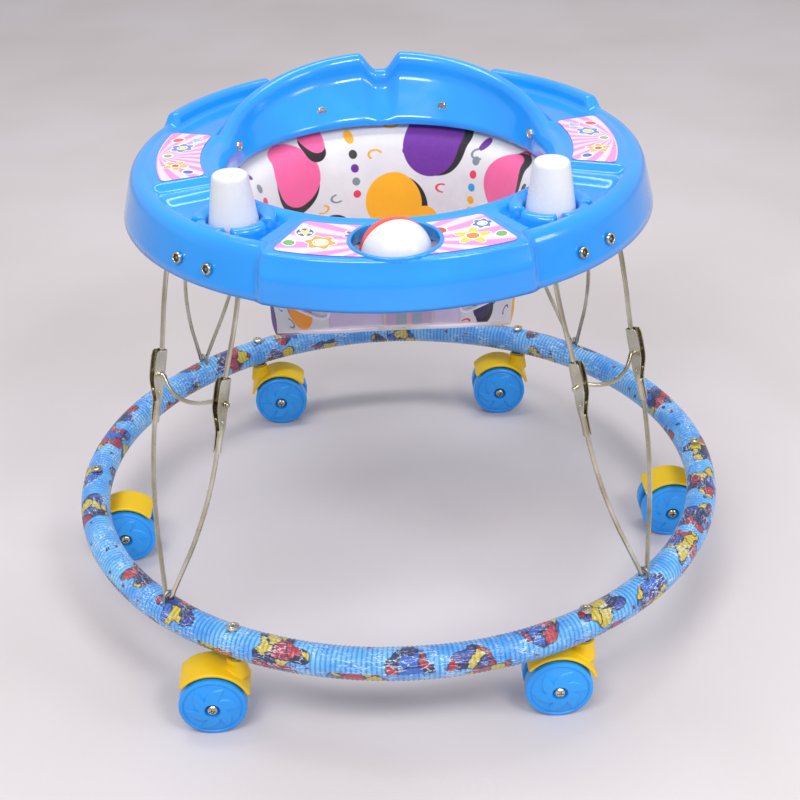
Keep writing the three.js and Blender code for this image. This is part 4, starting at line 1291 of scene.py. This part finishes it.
def build_seat_trim(piping_look, panel_look, strap_look):
    """Bound leg openings, the plain front panel, its webbing strap and the bound panel edges."""
    pieces = []
    for name, side in (("left", -1), ("right", 1)):
        ring = []
        for turn in np.linspace(0, 2 * math.pi, 90, endpoint=False):
            x = side * LEG_HOLE_PLACE + LEG_HOLE * math.cos(turn)
            y = -LEG_HOLE_PLACE + LEG_HOLE * math.sin(turn)
            ring.append((x, y, SEAT_FLOOR + 2.2 - SEAT_SLOPE * min(y, 0)))
        pieces.append(tube("leg_piping_" + name, ring, 1.7, sides=12, closed=True))
        edge = []
        for t in np.linspace(0, 1, 30):
            azimuth = -90 + side * (27 + 8 * smoothstep(t, 0.4, 0.8) + 52 * max(0, t - 0.55))
            drop = 62 * min(1, t / 0.6)
            floor = SEAT_FLOOR + 3 - SEAT_SLOPE * polar(112, azimuth)[1]
            edge.append(seat_surface(azimuth, max(360 - drop, floor + 6)) * (1.012, 1.012, 1))
        pieces.append(tube("panel_binding_" + name, edge, 1.5, sides=12))
    for piece in pieces:
        settle(piece, "tray", "seat_fabric", piping_look)
    panel = cloth_strip("seat_panel", -90, 58.0, (0.18, 0.62), 1.5)
    settle(panel, "tray", "seat_fabric", panel_look)
    strap = cloth_strip("seat_webbing", -84.5, 21.0, (0.16, 0.62), 2.6)
    settle(strap, "tray", "seat_fabric", strap_look)
    return [panel, strap], pieces


def cloth_strip(name, middle, half_width, shares, lift):
    """A strip of cloth that lies on the outside of the seat's front wall."""
    rows, columns = 70, 40
    points, flats = [], []
    for share in np.linspace(*shares, rows):
        for across in np.linspace(-1, 1, columns):
            azimuth = middle + math.degrees(across * half_width / 114)
            spot = seat_point(azimuth, share)
            out = polar(lift, azimuth, 0)
            points.append(spot + out)
            flats.append((across * half_width, spot[2]))
    faces = grid_faces(rows, columns)
    prints = [[flats[i] for i in face] for face in faces]
    strip = mesh_piece(name, points, faces, prints=prints, sharp=80)
    return applied(strip, ("SOLIDIFY", {"thickness": 0.8 * MM, "offset": 0.0}))


def one_side_area(piece):
    """Half of a thin closed piece's surface, in square metres."""
    return sum(face.area for face in piece.data.polygons) / 2


def declare_cloth(seat, sheets):
    area = one_side_area(seat)
    length = 0.31
    width = round(area / length / 0.86, 3)
    for piece, width in zip(sheets, (0.116, 0.042)):
        area = one_side_area(piece)


# ---------------------------------------------------------------- the scene

def add_floor():
    reach = 9000
    corners = [(-reach, -reach, 0), (reach, -reach, 0), (reach, reach, 0), (-reach, reach, 0)]
    floor = mesh_piece("floor", corners, [(0, 1, 2, 3)])
    floor.data.materials.append(floor_look())


def build_walker():
    nickel = plated_metal("nickel", "#d8d3c2", "#a9a288", 0.22, streak=(1, 1, 0.1))
    steel = plated_metal("steel", "#b4b4b0", "#7d7d78", 0.38)
    # painted shade: near-black plastic for the leg rivets' dished middles, in place of the nickel that the
    # rim shows
    dark = moulded_plastic("rivet_face_painted_shade", "#2e2b30", "#1c1a1e", 0.3)
    tray_plastic = moulded_plastic("tray_blue", "#219af6", "#1a8fee", 0.2, Coat_Weight=0.6,
                                   Coat_Roughness=0.06)
    looks = {
        "nickel": nickel,
        "yellow": moulded_plastic("housing_yellow", "#f6cb04", "#e8bb02", 0.4),
        "wheel": moulded_plastic("wheel_blue", "#2ba0f8", "#2396f0", 0.34),
    }
    white = moulded_plastic("toy_white", "#e2e4e7", "#dadce0", 0.28, Subsurface_Weight=0.25,
                            Subsurface_Radius=(0.004, 0.004, 0.005), Coat_Weight=0.3)
    orange = moulded_plastic("toy_orange", "#fb5a26", "#f04c1c", 0.26, Coat_Weight=0.3)
    build_sleeve()
    build_tube(steel)
    build_casters(looks)
    build_legs(nickel)
    build_tray(tray_plastic)
    build_tray_fittings(tray_plastic)
    build_rivets(nickel, dark)
    build_stickers()
    build_ball(white, orange)
    build_cones(white)
    seat = build_seat(cloth_look("seat_print", ("#e2e0e2", "#d6d3da"), dots=SEAT_DOTS, confetti=True))
    sheets, bindings = build_seat_trim(
        cloth_look("seat_binding", ("#f3edf8", "#e6dcf0"), 0.6),
        cloth_look("seat_lining", ("#dccbe8", "#cdbcdd"), 0.8),
        webbing_look())
    declare_cloth(seat, sheets)
    for name in LEGS:
        clip = frame["nodes"]["leg_clip_" + name]
        clip.data.materials.clear()
        clip.data.materials.append(nickel)


add_camera()
add_lights()
add_floor()
build_walker()
